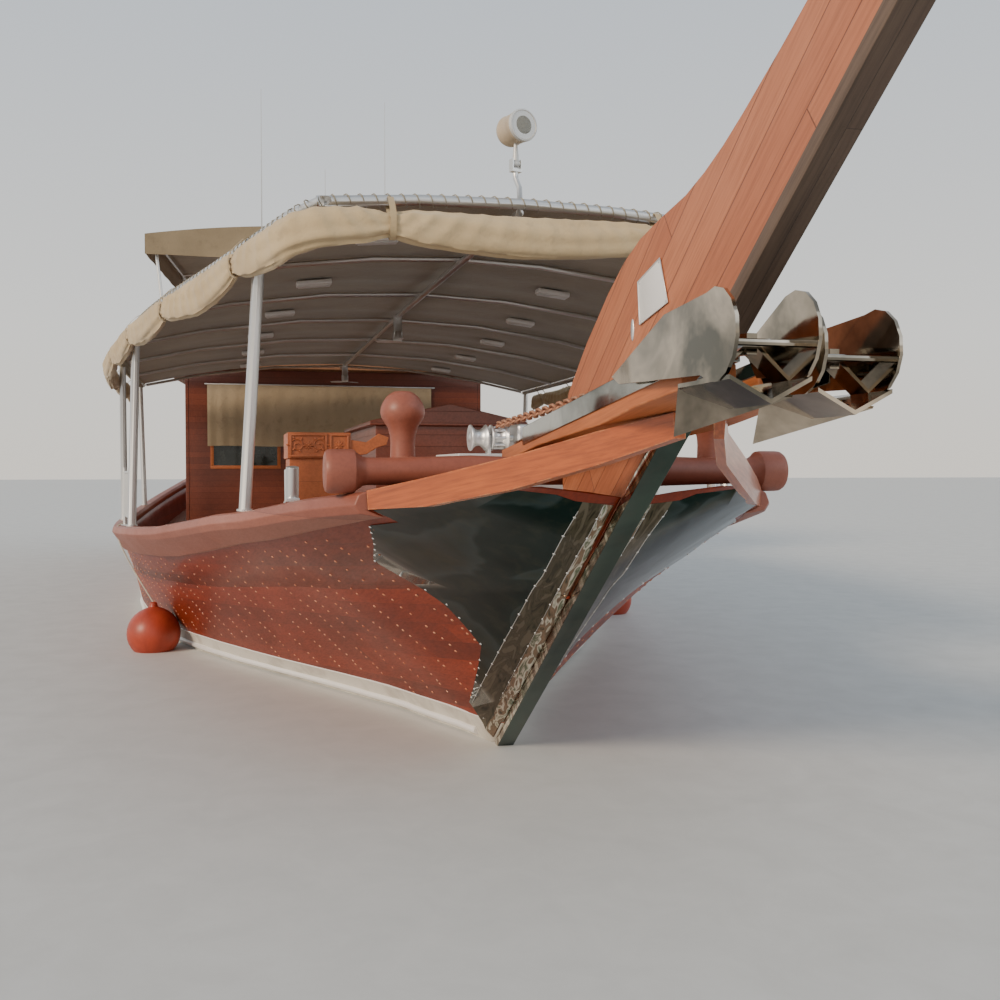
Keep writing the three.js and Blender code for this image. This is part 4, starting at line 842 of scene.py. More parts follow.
@dataclass(frozen=True)
class BowPlatePaintedReflection(Finish):
    """Mirror plate whose colour is painted reflection of dark water, with brighter painted reflections and
    glints in the two strips beside the stem.
    """

    name: str
    slot: str
    first: float = 0.13
    second: float = 0.25

    def shade(self, graph: Graph) -> dict:
        """Returns the shader's values and links.

        Args:
            graph: The material's nodes.
        """
        place = graph.place()
        across = graph.math("ABSOLUTE", graph.split(place)[1])
        up, to_side = graph.dot(place, (0.45, 0, 0.32)), graph.dot(place, (0, 0.3, 0))
        slow = graph.join(up, graph.times(across, 0.8), to_side)
        # Painted reflection: the dark greens and browns that the polished plate would mirror from water and
        # shore, laid in as its colour.
        water = graph.ramp(
            graph.noise(slow, 1.6, 2.0, 0.35, 1.4),
            (0.3, "17231e"), (0.46, "1c2c28"), (0.49, "3a4746"), (0.6, "2e342b"), (0.8, "40402f"),
        )
        # Quicker blots that shape the painted reflections and painted glints in the two strips beside the
        # stem.
        quick = graph.join(graph.dot(place, (0.8, 0, 0.6)), graph.times(across, 5.0))
        reflection_blots = graph.noise(quick, 3.1, 2.0, 0.4, 2.2)
        # Painted reflection in the outer strip: dark brown-grey with lighter patches.
        strip = graph.ramp(reflection_blots, (0.25, "2a2a22"), (0.44, "5b5444"), (0.5, "4a4438"), (0.6, "6e6656"))
        # Painted glints: bright patches of mirrored light in the strip next to the stem.
        painted_glint = graph.ramp(
            reflection_blots, (0.3, "4d4a3e"), (0.42, "9a8069"), (0.5, "7d6a58"), (0.555, "e8e2d2"), (0.66, "5e6a50"),
            (0.75, "d8d2c4"),
        )
        colour = graph.mix(graph.range(across, self.second + 0.001, self.second - 0.001), water, strip)
        colour = graph.mix(graph.range(across, self.first + 0.001, self.first - 0.001), colour, painted_glint)
        smudge = graph.patch(6.0, 0.5, 0.8)
        return {
            "Base Color": graph.mix(graph.times(smudge, 0.35), colour, tint("55543f")), "Metallic": 1.0,
            "Roughness": graph.times(smudge, 0.16, 0.08),
            "Normal": graph.bump(graph.noise(place, 2.2, 2.0, 0.4), 0.02, 0.3),
        }


@dataclass(frozen=True)
class Paint(Finish):
    """Painted, moulded or cast surface with faint orange peel and dust."""

    name: str
    slot: str
    light: str
    dark: str
    rough: float = 0.4
    metallic: float = 0.0
    pits: float = 0.3

    def shade(self, graph: Graph) -> dict:
        """Returns the shader's values and links.

        Args:
            graph: The material's nodes.
        """
        patch = graph.patch(2.5, 0.35, 0.75)
        fine = graph.noise(graph.place(), 60.0, 3.0, 0.6)
        colour = graph.mix(patch, tint(self.light), tint(self.dark))
        return {
            "Base Color": graph.mix(graph.times(fine, 0.15), colour, tint(self.dark)),
            "Metallic": self.metallic, "Roughness": graph.times(patch, 0.15, self.rough - 0.05),
            "Normal": graph.bump(fine, 0.002, self.pits),
        }


@dataclass(frozen=True)
class Cloth(Finish):
    """Woven awning cloth, with folds of dust and a soft sheen."""

    name: str
    slot: str
    light: str
    dark: str
    threads: float = 500.0
    rough: float = 0.9

    def shade(self, graph: Graph) -> dict:
        """Returns the shader's values and links.

        Args:
            graph: The material's nodes.
        """
        follow = graph.add("ShaderNodeUVMap", uv_map="cloth").outputs[0]
        height, thread = graph.effect("weave", Vector=follow, Threads=self.threads)
        patch = graph.patch(1.1, 0.35, 0.7)
        share = graph.times(thread, 0.35, graph.times(patch, 0.5))
        colour = graph.mix(share, tint(self.light), tint(self.dark))
        crease = graph.noise(graph.place(), 9.0, 4.0, 0.6, 0.8)
        return {
            "Base Color": graph.mix(graph.times(graph.patch(7.0, 0.55, 0.8), 0.35), colour, tint("5d5040")),
            "Roughness": graph.times(patch, 0.1, self.rough - 0.08), "Sheen Weight": 0.25,
            "Normal": graph.bump(graph.times(height, 0.03, crease), 0.012, 0.5),
        }


@dataclass(frozen=True)
class Glass(Finish):
    """Tinted pane, thick enough to look dark from outside."""

    name: str
    slot: str
    colour: str
    clear: float = 0.6
    rough: float = 0.05

    def shade(self, graph: Graph) -> dict:
        """Returns the shader's values and links.

        Args:
            graph: The material's nodes.
        """
        smear = graph.patch(5.0, 0.45, 0.8)
        return {
            "Base Color": graph.mix(graph.times(smear, 0.3), tint(self.colour), tint("8d9290")),
            "Roughness": graph.times(smear, 0.12, self.rough), "Transmission Weight": self.clear, "IOR": 1.45,
        }


ALONG_STEM = (0.812, 0.0, 0.583)
OFF_STEM = (-0.583, 0.0, 0.812)
ALONG_FORE_PLANK = (0.83, -0.53, 0.17)
ACROSS_FORE_PLANK = (-0.141, 0.09, 0.971)

PLANKING = HullTimber(
    "planking", "varnished_planking", "9c3714", "4b1508", pitch=0.14, length=5.0, rough=0.42, coat=0.22,
    grooved=0.5, specular=0.25,
)
PROW_TIMBER = Timber(
    "prow_timber", "orange_timber", "c27a54", "9a5233", along=ALONG_STEM, across=OFF_STEM, pitch=0.17,
    length=6.0, seam=0.009, rough=0.5,
)
CHUTE_TIMBER = Timber(
    "chute_timber", "orange_timber", "cd7a45", "a4562b", along=(1, 0, 0.11), across=(-0.11, 0, 1),
    pitch=0.6, length=9.0, rough=0.42, worn="dca478",
)
FORE_TIMBER = Timber(
    "fore_timber", "orange_timber", "c3652f", "95421c", along=ALONG_FORE_PLANK, across=ACROSS_FORE_PLANK,
    pitch=0.6, length=9.0, rough=0.3, coat=0.5, grain=0.5, worn="dc9a64", mirrored=True,
)
CARVED_TIMBER = Timber(
    "carved_timber", "orange_timber", "cc7645", "9c4f2a", pitch=0.5, length=3.0, rough=0.42, grain=0.3,
)
RAIL_PAINT = Timber(
    "rail_paint", "painted_rail", "a4614b", "84493a", pitch=0.9, length=5.0, seam=0.003, rough=0.42,
    grain=0.18, worn="bf8368",
)
KEEL_TIMBER = Timber("keel_timber", "keel_timber", "4d3226", "33211a", pitch=0.3, rough=0.7)
DECKING = Timber(
    "decking", "deck_boards", "9b6d4a", "73492f", across=(0, 1, 0), pitch=0.12, length=3.5, seam=0.008,
    rough=0.6, grain=0.4,
)
PANELLING = Timber(
    "panelling", "cabin_panel", "8f4b35", "5f2d20", pitch=0.11, length=9.0, seam=0.006, rough=0.35,
    coat=0.3,
)
PROW_FACE = Timber(
    "prow_face", "polished_steel", "75604f", "4e3d33", along=ALONG_STEM, across=(0, 1, 0), pitch=0.9,
    length=2.6, seam=0.003, rough=0.62, grain=0.5,
)
STEEL = Steel("polished_steel", "polished_steel", "c4c3bd", "6e746c", rough=0.06, dents=0.3)
# Painted reflection: the stem sheath's dark green colour stands in for the dark water that its polished steel
# would mirror.
SHEATH_STEEL_PAINTED_REFLECTION = Steel(
    "sheath_steel", "polished_steel", "44544b", "25342e", rough=0.06, dents=0.2, stain="4a4d42", scale=0.7,
)
LINER = Steel("chute_steel", "polished_steel", "b9b8b0", "7d7f78", rough=0.1, dents=0.35)
ANCHOR_STEEL = Steel(
    "anchor_steel", "polished_steel", "cdbda8", "5d5a50", rough=0.07, stain="8a7f70", scale=1.3,
)
# The bow plates' colour is painted reflection of dark water, with painted glints beside the stem.
BOW_PLATE_PAINTED_REFLECTION = BowPlatePaintedReflection("bow_steel", "polished_steel")
TUBE = Steel("tube_steel", "tube_steel", "c8c6c0", "a09f98", rough=0.18, dents=0.05)
RUST = Paint("rusty_chain", "rusty_chain", "7d4429", "4b2618", rough=0.8, metallic=0.3, pits=0.9)
WHITE = Paint("white_paint", "white_paint", "d9d5cc", "b3ada2", rough=0.45)
BRONZE = Paint("bronze", "bronze", "a8824a", "6f5230", rough=0.35, metallic=1.0)
VINYL = Paint("fender_vinyl", "fender_red", "b8492e", "7c2c1e")
LAMP_CASE = Paint("lamp_case", "lamp_grey", "cbbaa2", "ab9a82")
LAMP_GREY = Paint("lamp_grey", "lamp_grey", "4c4a46", "35332f", rough=0.45, metallic=0.2)
# Painted highlight: the nail heads are lighter than the varnished wood, standing in for the light spot on
# each domed head.
NAIL_PAINTED_HIGHLIGHT = Paint("nail_heads", "varnished_planking", "d99a78", "a5512d", rough=0.2, pits=0.05)
STAIN = Paint("nail_stains", "varnished_planking", "431409", "300d06", rough=0.45, pits=0.1)
CANVAS = Cloth("canvas", "awning_cloth", "9c8a6d", "75664f")
CANVAS_PALE = Cloth("curtain_canvas", "awning_cloth", "bfab8c", "a39072")
ROLL_CANVAS = Cloth("roll_canvas", "awning_cloth", "cdb78f", "a58e69")
STRAP = Cloth("curtain_straps", "awning_cloth", "bca780", "95805e", threads=300)
LACE = Cloth("lacing_cord", "awning_cloth", "a39a86", "6f6756", threads=150)
CORDAGE = Cloth("cordage", "fender_red", "c9c2b2", "9a927f", threads=150)
FROSTED = Glass("frosted_lens", "white_paint", "e8e6e0", clear=0.15, rough=0.4)
LENS = Glass("searchlight_glass", "lamp_grey", "a8a290", clear=0.7)
PANE = Glass("cabin_pane", "cabin_panel", "39403c", clear=0.35, rough=0.04)


def dress(piece: Piece, finish: Finish, body: Body = Body.BOAT) -> Piece:
    """Gives a piece its finish and the body that it rides on.

    Args:
        piece: The finished mesh.
        finish: Its finish.
        body: The body that carries it.

    Returns:
        The same object.
    """
    piece.data.materials.clear()
    piece.data.materials.append(finish.material())
    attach(piece, body.value)
    log.info("piece %s on %s, %d faces", piece.name, body.value, len(piece.data.polygons))
    return piece


def recast(
    node: str, ending: str, finish: Finish, edge: float = 0.0, rounds: int = 2, degrees: float = 35,
    flat: bool = True, body: Body = Body.BOAT, slot: str = "", name: str = "",
) -> Piece:
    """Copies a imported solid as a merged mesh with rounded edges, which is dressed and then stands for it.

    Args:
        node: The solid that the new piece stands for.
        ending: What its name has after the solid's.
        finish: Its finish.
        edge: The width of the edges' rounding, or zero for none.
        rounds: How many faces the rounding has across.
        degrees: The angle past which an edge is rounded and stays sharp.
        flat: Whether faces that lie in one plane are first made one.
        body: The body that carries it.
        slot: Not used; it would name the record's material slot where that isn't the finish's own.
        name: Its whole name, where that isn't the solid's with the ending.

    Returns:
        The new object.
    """
    name = name or f"{node}_{ending}"
    piece = bpy.data.objects.new(name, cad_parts[node].data.copy())
    bpy.context.scene.collection.objects.link(piece)
    piece.data.name = name

    def merge() -> None:
        """Merges doubles and clears the edges inside flat faces."""
        bpy.ops.mesh.remove_doubles(threshold=0.0002)
        if flat:
            bpy.ops.mesh.dissolve_limited(angle_limit=math.radians(0.6))

    edit_all(piece, merge)
    if edge:
        soften(piece, edge, rounds, degrees)
    else:
        smooth(piece, degrees)
    if edge and flat:
        finish_with(piece, "WEIGHTED_NORMAL", keep_sharp=True)
    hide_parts(node)
    return dress(piece, finish, body)


def recast_sides(stem: str, *details: object, **more: object) -> None:
    """Recasts a solid of each side, named without its side, with all else that recast takes."""
    for side in SIDES:
        recast(side_name(stem, side), *details, **more)


@dataclass
class Studio:
    """The camera at the photograph's place, the floor at the waterline, and soft light."""

    eye: Point = (18.148, -1.989, 2.1)
    heading: tuple[float, float] = (-0.969, 0.247)
    drop: float = 1.71
    lens: float = 37.69
    floor_size: float = 400.0
    sky: float = 1.2

    def build(self) -> None:
        """Builds the camera, the floor, the sky and the lights."""
        self.set_camera()
        self.lay_floor()
        self.set_sky()
        self.hang_lights()

    def set_camera(self) -> None:
        """Places the camera and makes it the scene's own."""
        down = math.radians(self.drop)
        look = Vector((self.heading[0] * math.cos(down), self.heading[1] * math.cos(down), -math.sin(down)))
        turn = look.to_track_quat("-Z", "Y").to_euler()
        camera = fresh(bpy.ops.object.camera_add, location=self.eye, rotation=turn)
        camera.name = "photograph_view"
        camera.data.lens = self.lens
        camera.data.sensor_width = 36.0
        camera.data.clip_end = 1000.0
        camera.data.dof.use_dof = False
        bpy.context.scene.camera = camera

    def lay_floor(self) -> None:
        """Lays the pale floor at the waterline."""
        floor = fresh(bpy.ops.mesh.primitive_plane_add, size=self.floor_size)
        floor.name = "studio_floor"
        paint = Paint("studio_floor", "", "cfd0cd", "c6c7c4", rough=0.7, pits=0.0)
        floor.data.materials.append(paint.material())

    def set_sky(self) -> None:
        """Lights the studio from a pale, slightly graded dome."""
        world = bpy.data.worlds.new("studio_sky")
        bpy.context.scene.world = world
        world.use_nodes = True
        graph = Graph(world.node_tree)
        height = graph.dot(graph.add("ShaderNodeTexCoord").outputs["Generated"], (0, 0, 1))
        colour = graph.ramp(height, (0.0, "ece6dc"), (0.12, "e9e8e4"), (0.4, "cdd4dc"), (1.0, "9ba6b3"))
        background = next(node for node in world.node_tree.nodes if node.type == "BACKGROUND")
        graph.fill(background, {"Color": colour, "Strength": self.sky})

    def hang_lights(self) -> None:
        """Hangs a broad key light off the starboard bow and a weak one to port."""
        for name, direction, strength, angle, colour in (
            ("key_light", (0.45, -0.8, 0.42), 2.8, 14, "ffe9cf"),
            ("fill_light", (0.6, 0.7, 0.5), 0.5, 40, "dfe8f2"),
        ):
            turn = Vector(direction).to_track_quat("Z", "Y").to_euler()
            light = fresh(bpy.ops.object.light_add, type="SUN", location=(20, -20, 20), rotation=turn)
            light.name = name
            light.data.energy = strength
            light.data.angle = math.radians(angle)
            light.data.color = tint(colour)[:3]


# What several parts need to know of the boat.


class Surface:
    """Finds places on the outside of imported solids."""

    def __init__(self, nodes: Sequence[str]) -> None:
        """Gathers the faces of the named solids.

        Args:
            nodes: The solids' names.
        """
        corners: list[Vector] = []
        faces: list[tuple[int, ...]] = []
        for node in nodes:
            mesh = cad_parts[node].data
            base = len(corners)
            corners += [v.co.copy() for v in mesh.vertices]
            faces += [tuple(base + i for i in p.vertices) for p in mesh.polygons]
        self.tree = BVHTree.FromPolygons(corners, faces)

    def beside(self, x: float, z: float, side: int) -> tuple[Vector, Vector] | None:
        """Looks in from one side of the boat.

        Args:
            x: How far forward to look.
            z: How high to look.
            side: 1 from port, -1 from starboard.

        Returns:
            The place and the direction that faces outwards there, or None where nothing is met.
        """
        place, normal, _, _ = self.tree.ray_cast(Vector((x, 12.0 * side, z)), Vector((0, -side, 0)))
        if place is None:
            return None
        return place, normal if normal.y * side > 0 else -normal

    def ahead(self, y: float, z: float) -> tuple[Vector, Vector] | None:
        """Looks aft from in front of the boat, at the bow only.

        Args:
            y: How far to port to look.
            z: How high to look.

        Returns:
            The place and the direction that faces outwards there, or None where the bow isn't met.
        """
        place, normal, _, _ = self.tree.ray_cast(Vector((18.0, y, z)), Vector((-1, 0, 0)))
        if place is None or place.x < at(STEM_SLOPE * z - 1.0):
            return None
        return place, normal if normal.x > 0 else -normal


def standing(place: Vector, out: Vector, size: float = 1.0) -> Matrix:
    """Returns the matrix that stands a small model on a surface, its Z along the outward direction."""
    turn = out.to_track_quat("Z", "Y").to_matrix().to_4x4()
    return Matrix.Translation(place) @ turn @ Matrix.Scale(size, 4)


@dataclass
class Hull:
    """The planked shell with its nail heads and the mouldings at the waterline."""

    frame_pitch: float = 0.33
    frame_count: int = 66
    plank: float = 0.14
    nail: float = 0.0125
    nail_step: float = 0.042
    lowest_nail: float = 0.27
    dice: random.Random = field(default_factory=lambda: random.Random(SEED))

    def build(self) -> None:
        """Builds the shell and what is fastened on it."""
        self.cast_shell()
        self.drive_nails()
        self.run_mouldings()

    def cast_shell(self) -> None:
        """Smooths the planking and lays deck boards on its level faces."""
        shell = recast("hull", "planking", PLANKING, flat=False, degrees=40)
        shell.data.materials.append(DECKING.material())
        for face in shell.data.polygons:
            if face.normal.z > 0.85:
                face.material_index = 1
        recast_sides("bulwark", "planking", PLANKING, flat=False, degrees=40)
        recast("stern_bulwark", "", PLANKING, 0.004, name="stern_planking")

    def sheer_lift(self, x: float) -> float:
        """Returns how far the rows of planks have risen at this place."""
        return sum(bend * max(way * (x - start), 0) ** 2 for way, (start, bend) in SHEER.items())

    def drive_nails(self) -> None:
        """Drives two or three nails through every plank at every frame, and stains the wood beside them."""
        shell = Surface(["hull", "bulwark_port", "bulwark_starboard"])
        covers = Surface(["bow_plating_port", "bow_plating_starboard", "rail_port", "rail_starboard"])
        places, stains = [], []
        for side in SIDES:
            for step in range(self.frame_count):
                x = at(1.35) - self.frame_pitch * step
                for row in range(-6, 16):
                    z = self.plank * (row + 0.5) + self.sheer_lift(x)
                    if z < self.lowest_nail:
                        continue
                    for lift in self.dice.choice(((-1, 1), (-1, 0, 1), (-1, 0, 1), (0, 1))):
                        along = x + self.dice.uniform(-0.014, 0.014)
                        up = z + lift * self.nail_step + self.dice.uniform(-0.006, 0.006)
                        found = shell.beside(along, up, side)
                        cover = covers.beside(along, up + 0.03, side)
                        hidden = cover and abs(cover[0].y) > abs(found[0].y if found else 0) - 0.02
                        if found and not hidden and abs(found[1].z) < 0.85:
                            places.append(standing(found[0], found[1], self.dice.uniform(0.85, 1.1)))
                            if self.dice.random() < 0.6:
                                stains.append(self.stain_place(*found))
        rows = [(1.0, -0.1), (0.95, 0.14), (0.5, 0.4)]
        head = turned("nail_head", [(self.nail * r, self.nail * h) for r, h in rows], sides=7)
        dress(scattered("hull_nails", head, places), NAIL_PAINTED_HIGHLIGHT)
        mark = fresh(bpy.ops.mesh.primitive_circle_add, vertices=8, radius=1, fill_type="NGON")
        bpy.ops.transform.resize(value=(0.032, 0.0075, 1))
        bpy.ops.object.transform_apply(location=True, rotation=True, scale=True)
        dress(scattered("hull_nail_stains", mark, stains), STAIN)
        log.info("%d nails", len(places))

    def stain_place(self, place: Vector, out: Vector) -> Matrix:
        """Lays a thin stain on the planking, forward of a nail and along the grain.

        Args:
            place: The nail's place.
            out: Away from the planking.

        Returns:
            The stain's place.
        """
        along = (Vector((1, 0, 0.05)) - out * out.x).normalized()
        turn = Matrix((along, out.cross(along), out)).transposed().to_4x4()
        size = Matrix.Scale(self.dice.uniform(0.5, 1.25), 4)
        return Matrix.Translation(place + along * 0.026 + out * 0.0006) @ turn @ size

    def run_mouldings(self) -> None:
        """Runs the two half-round mouldings of the white band along the planking."""
        shell = Surface(["hull"])
        strips = []
        for side in SIDES:
            for level, radius in ((0.212, 0.009), (0.058, 0.032)):
                route = []
                for x in np.linspace(-10.9, 10.47, 90):
                    found = shell.beside(float(x), level, side)
                    if found and abs(found[1].x) < 0.97:
                        route.append(tuple(found[0]))
                strips.append(swept("moulding", route, radius, 2))
        dress(join("waterline_mouldings", strips), WHITE)


@dataclass
class BowSteel:
    """The polished plates on the bow, their edge strips and screws, and the stem's sheath."""

    edge: tuple[tuple[float, float], ...] = (
        (11.88, 1.75), (11.64, 1.63), (11.37, 1.5), (11.36, 1.2), (11.2, 0.9), (10.92, 0.68), (10.64, 0.47),
        (10.46, 0.34),
    )
    sheath_end: float = 13.2
    brown_above: float = 2.62
    strip_foot: float = 0.23
    strip_inner: float = 0.0595
    seam_places: tuple[tuple[float, float, float], ...] = ((0.13, 0.42, 2.02), (0.25, 0.3, 1.88))

    def build(self) -> None:
        """Builds the plates and their fastenings."""
        recast_sides("bow_plating", "sheet", BOW_PLATE_PAINTED_REFLECTION, flat=False, degrees=40)
        sheath = recast("stem_sheath", "channel", SHEATH_STEEL_PAINTED_REFLECTION, 0.004)

        def part() -> None:
            """Cuts the faces where the bright steel ends."""
            bpy.ops.mesh.bisect(plane_co=(0, 0, self.brown_above), plane_no=(0, 0, 1))

        edit_all(sheath, part)
        smooth(sheath)
        sheath.data.materials.append(BOW_PLATE_PAINTED_REFLECTION.material())
        sheath.data.materials.append(PROW_FACE.material())
        for face in sheath.data.polygons:
            if face.center.z > self.brown_above:
                face.material_index = 2
            elif abs(face.normal.y) > 0.8 and face.center.x < self.sheath_end:
                face.material_index = 1
        self.close_joint()
        self.fasten()

    def close_joint(self) -> None:
        """Lays the bright strip over the joint between the plates and the sheath."""
        under = Surface(["hull", "bow_plating_port", "bow_plating_starboard"])
        first, _, high = self.seam_places[0]
        levels = np.linspace(self.strip_foot, high + 0.03, 40)
        breadths = np.linspace(self.strip_inner, first, 6)
        for side in SIDES:
            rows = []
            for level in levels:
                found = [under.ahead(side * across, float(level)) for across in breadths]
                if all(found):
                    rows.append([place + 0.0028 * out for place, out in found])
            points = np.array([[tuple(spot) for spot in row] for row in rows])
            strip = grid_mesh(side_name("stem_strip", side), points, points[:, :, 1:])
            dress(thickened(strip, 0.002), BOW_PLATE_PAINTED_REFLECTION)

    def fasten(self) -> None:
        """Sets screws along the plates' after edge and beside each seam."""
        plates = Surface(["bow_plating_port", "bow_plating_starboard"])
        places, strips = [], []
        for side in SIDES:
            for across, low, high in self.seam_places:
                route = []
                for z in np.linspace(low, high, 44):
                    found = plates.ahead(side * across, float(z))
                    if found:
                        route.append(found[0] + 0.0006 * found[1])
                        if len(route) % 3 == 0:
                            places.append(standing(found[0], found[1]))
                if len(route) > 2:
                    strips.append(swept("seam", [tuple(p) for p in route], 0.0022, 1))
            for (x0, z0), (x1, z1) in zip(self.edge, self.edge[1:]):
                for share in (0.0, 0.33, 0.66):
                    found = plates.beside(x0 + (x1 - x0) * share, z0 + (z1 - z0) * share, side)
                    if found:
                        places.append(standing(found[0], found[1]))
        head = turned("screw", [(0.009, -0.001), (0.009, 0.001), (0.006, 0.0035), (0.002, 0.004)], sides=8)
        dress(scattered("bow_plate_screws", head, places), STEEL)
        dress(join("bow_plate_seams", strips), STEEL)


@dataclass
class Prow:
    """The raked blade with its blank number plate and the small oval plate under it."""

    plate: tuple[tuple[float, float], ...] = ((2.818, 3.014), (3.09, 3.078), (3.184, 2.86), (2.846, 2.801))
    face: float = 0.055

    def build(self) -> None:
        """Builds the blade and its plates."""
        recast("prow_blade", "", PROW_TIMBER, 0.008, 3, name="prow_timber_blade")
        self.fix_plate()

    def fix_plate(self) -> None:
        """Fixes the blank plate and its four screws, and the oval beside it."""
        plate = fresh(bpy.ops.mesh.primitive_plane_add, size=1)
        for corner, row in ((0, 3), (1, 2), (2, 0), (3, 1)):
            ahead, z = self.plate[row]
            plate.data.vertices[corner].co = (at(ahead), -self.face - 0.004, z)
        finish_with(plate, "SOLIDIFY", thickness=0.004, offset=0)
        soften(plate, 0.0015, 2)
        plate.name = "blank_number_plate"
        edit_all(plate, face_out)
        dress(plate, WHITE)
        corners = [(at(ahead), -self.face - 0.0065, z) for ahead, z in self.plate]
        dress(swept("blank_plate_rim", corners, 0.0035, 2, closed=True), STEEL)
        middle = [sum(row[i] for row in self.plate) / 4 for i in (0, 1)]
        spots = []
        for ahead, z in self.plate:
            x, up = at(ahead + 0.1 * (middle[0] - ahead)), z + 0.1 * (middle[1] - z)
            spots.append(standing(Vector((x, -self.face - 0.006, up)), Vector((0, -1, 0))))
        head = turned("screw", [(0.008, 0), (0.008, 0.002), (0.004, 0.0035)], sides=10)
        dress(scattered("plate_screws", head, spots), STEEL)
        rows = [(0.05, 0), (0.05, 0.003), (0.044, 0.006), (0.01, 0.0065)]
        oval = turned("blank_oval_plate", rows, axis=(0, -1, 0), sides=28)
        choose(oval)
        bpy.ops.transform.resize(value=(0.36, 1, 1.1), center_override=(0, 0, 0))
        bpy.ops.object.transform_apply(location=True, rotation=True, scale=True)
        bpy.ops.transform.translate(value=(at(2.74), -self.face, 2.79))
        dress(settle(oval), STEEL)


@dataclass
class Rails:
    """The moulded rails and the polished bollards on them."""

    def build(self) -> None:
        """Builds both rails."""
        recast_sides("rail", "moulding", RAIL_PAINT, 0.022, 3, 18)
        recast_sides("bollards", "tubes", TUBE, 0.005, 2, 40, slot="polished_steel")


@dataclass
class CrossBeam:
    """The heavy log across the bow, with its turned ends, and the two bitts that stand on it."""

    ahead: float = 1.47
    height: float = 2.085
    bitt_y: float = 1.0
    log: tuple[tuple[float, float], ...] = (
        (0.098, 1.475), (0.118, 1.468), (0.128, 1.452), (0.1305, 1.43), (0.1305, 1.32), (0.127, 1.3),
        (0.112, 1.287), (0.101, 1.27), (0.086, 1.25), (0.0815, 1.225), (0.082, 1.1), (0.088, 0.85),
        (0.0955, 0.6), (0.09, 0.42), (0.0845, 0.3),
    )
    bitt: tuple[tuple[float, float], ...] = (
        (0.077, 0.0), (0.075, 0.06), (0.0735, 0.12), (0.077, 0.165), (0.089, 0.21), (0.112, 0.246),
        (0.127, 0.272), (0.1335, 0.3), (0.131, 0.33), (0.119, 0.362), (0.098, 0.394), (0.076, 0.414),
        (0.05, 0.428), (0.018, 0.431),
    )

    def build(self) -> None:
        """Builds the log and the bitts as one piece."""
        half = [(radius, -y) for radius, y in self.log]
        whole = half + [(radius, y) for radius, y in reversed(self.log)]
        middle = (at(self.ahead), 0, self.height)
        parts = [turned("cross_beam_log", whole, middle, axis=(0, 1, 0), sides=40, sharp=30)]
        for side in SIDES:
            foot = (at(1.4), side * self.bitt_y, self.height + 0.05)
            parts.append(turned("bitt", self.bitt, foot, sides=36, sharp=30))
        beam = join("cross_beam_turned", parts)
        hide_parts("cross_beam")
        dress(beam, RAIL_PAINT)


@dataclass
class Foredeck:
    """The platform, the companion, and the carved bench with its scroll arm."""

    def build(self) -> None:
        """Builds what stands on the foredeck."""
        recast("foredeck_platform", "boards", DECKING, 0.005)
        recast("companion", "panelling", PANELLING, 0.008, 3)
        recast("carved_bench", "body", CARVED_TIMBER, 0.007, 3)
        recast_sides("fore_plank", "board", FORE_TIMBER, 0.008, 3)
        recast_sides("chute_beam", "timber", CHUTE_TIMBER, 0.008, 3)
        self.carve_frieze()

    def carve_frieze(self) -> None:
        """Carves two panels of leaves and a rosette on the bench's front, and ribs round them."""
        face, bottom, top, half = at(-0.68), 2.2, 2.366, 0.008
        back, proud = face - 0.004, face + 0.012
        level = (bottom + top) / 2
        parts = []
        for low, high in ((-1.56, -1.27), (-1.25, -1.10)):
            for z in (bottom, top):
                parts.append(block("rib", (back, low, z - half), (proud, high, z + half), 0.004))
            for y in (low + half, high - half):
                parts.append(block("rib", (back, y - half, bottom), (proud, y + half, top), 0.004))
            middle = (low + high) / 2
            parts += self.rosette(Vector((face, middle, level)), 0.042)
            if high - low > 0.2:
                for way in (-1, 1):
                    parts += self.leaves(Vector((face, middle + way * 0.085, level)), way)
        dress(join("bench_frieze_carving", parts), CARVED_TIMBER)

    def rosette(self, middle: Vector, reach: float) -> list[Piece]:
        """Carves a ring of petals round a boss.

        Args:
            middle: Its middle, on the wood's face.
            reach: How far the petals reach.

        Returns:
            The pieces of it.
        """
        rows = [(0.2, 0), (0.5, 0.12), (0.62, 0.3), (0.55, 0.55), (0.32, 0.82), (0.08, 0.97)]
        petals = []
        for turn in range(8):
            angle = math.tau * turn / 8
            way = Vector((0, math.cos(angle), math.sin(angle)))
            profile = [(reach * 0.34 * radius, reach * height) for radius, height in rows]
            petals.append(turned("petal", profile, tuple(middle), axis=tuple(way), sides=10))
        boss = [(0.012, 0), (0.011, 0.008), (0.006, 0.013)]
        petals.append(turned("boss", boss, tuple(middle), (1, 0, 0), 14))
        return petals

    def leaves(self, middle: Vector, way: int) -> list[Piece]:
        """Carves a curled stem with leaflets along it.

        Args:
            middle: The middle of the curl, on the wood's face.
            way: 1 curls to port, -1 to starboard.

        Returns:
            The pieces of it.
        """
        route = []
        for step in range(26):
            angle = 0.36 * step
            reach = 0.058 * (1 - step / 29)
            y, z = middle.y + way * reach * math.cos(angle), middle.z + reach * math.sin(angle)
            route.append((middle.x + 0.003, y, z))
        parts = [swept("stem", route, 0.006, 2, curved=True)]
        for step in range(0, 18, 3):
            start = Vector(route[step])
            away = (start - middle).normalized()
            rows = [(0.002, 0), (0.008, 0.008), (0.009, 0.016), (0.002, 0.03)]
            parts.append(turned("leaflet", rows, tuple(start), axis=(0, away.y, away.z + 0.2), sides=8))
        return parts


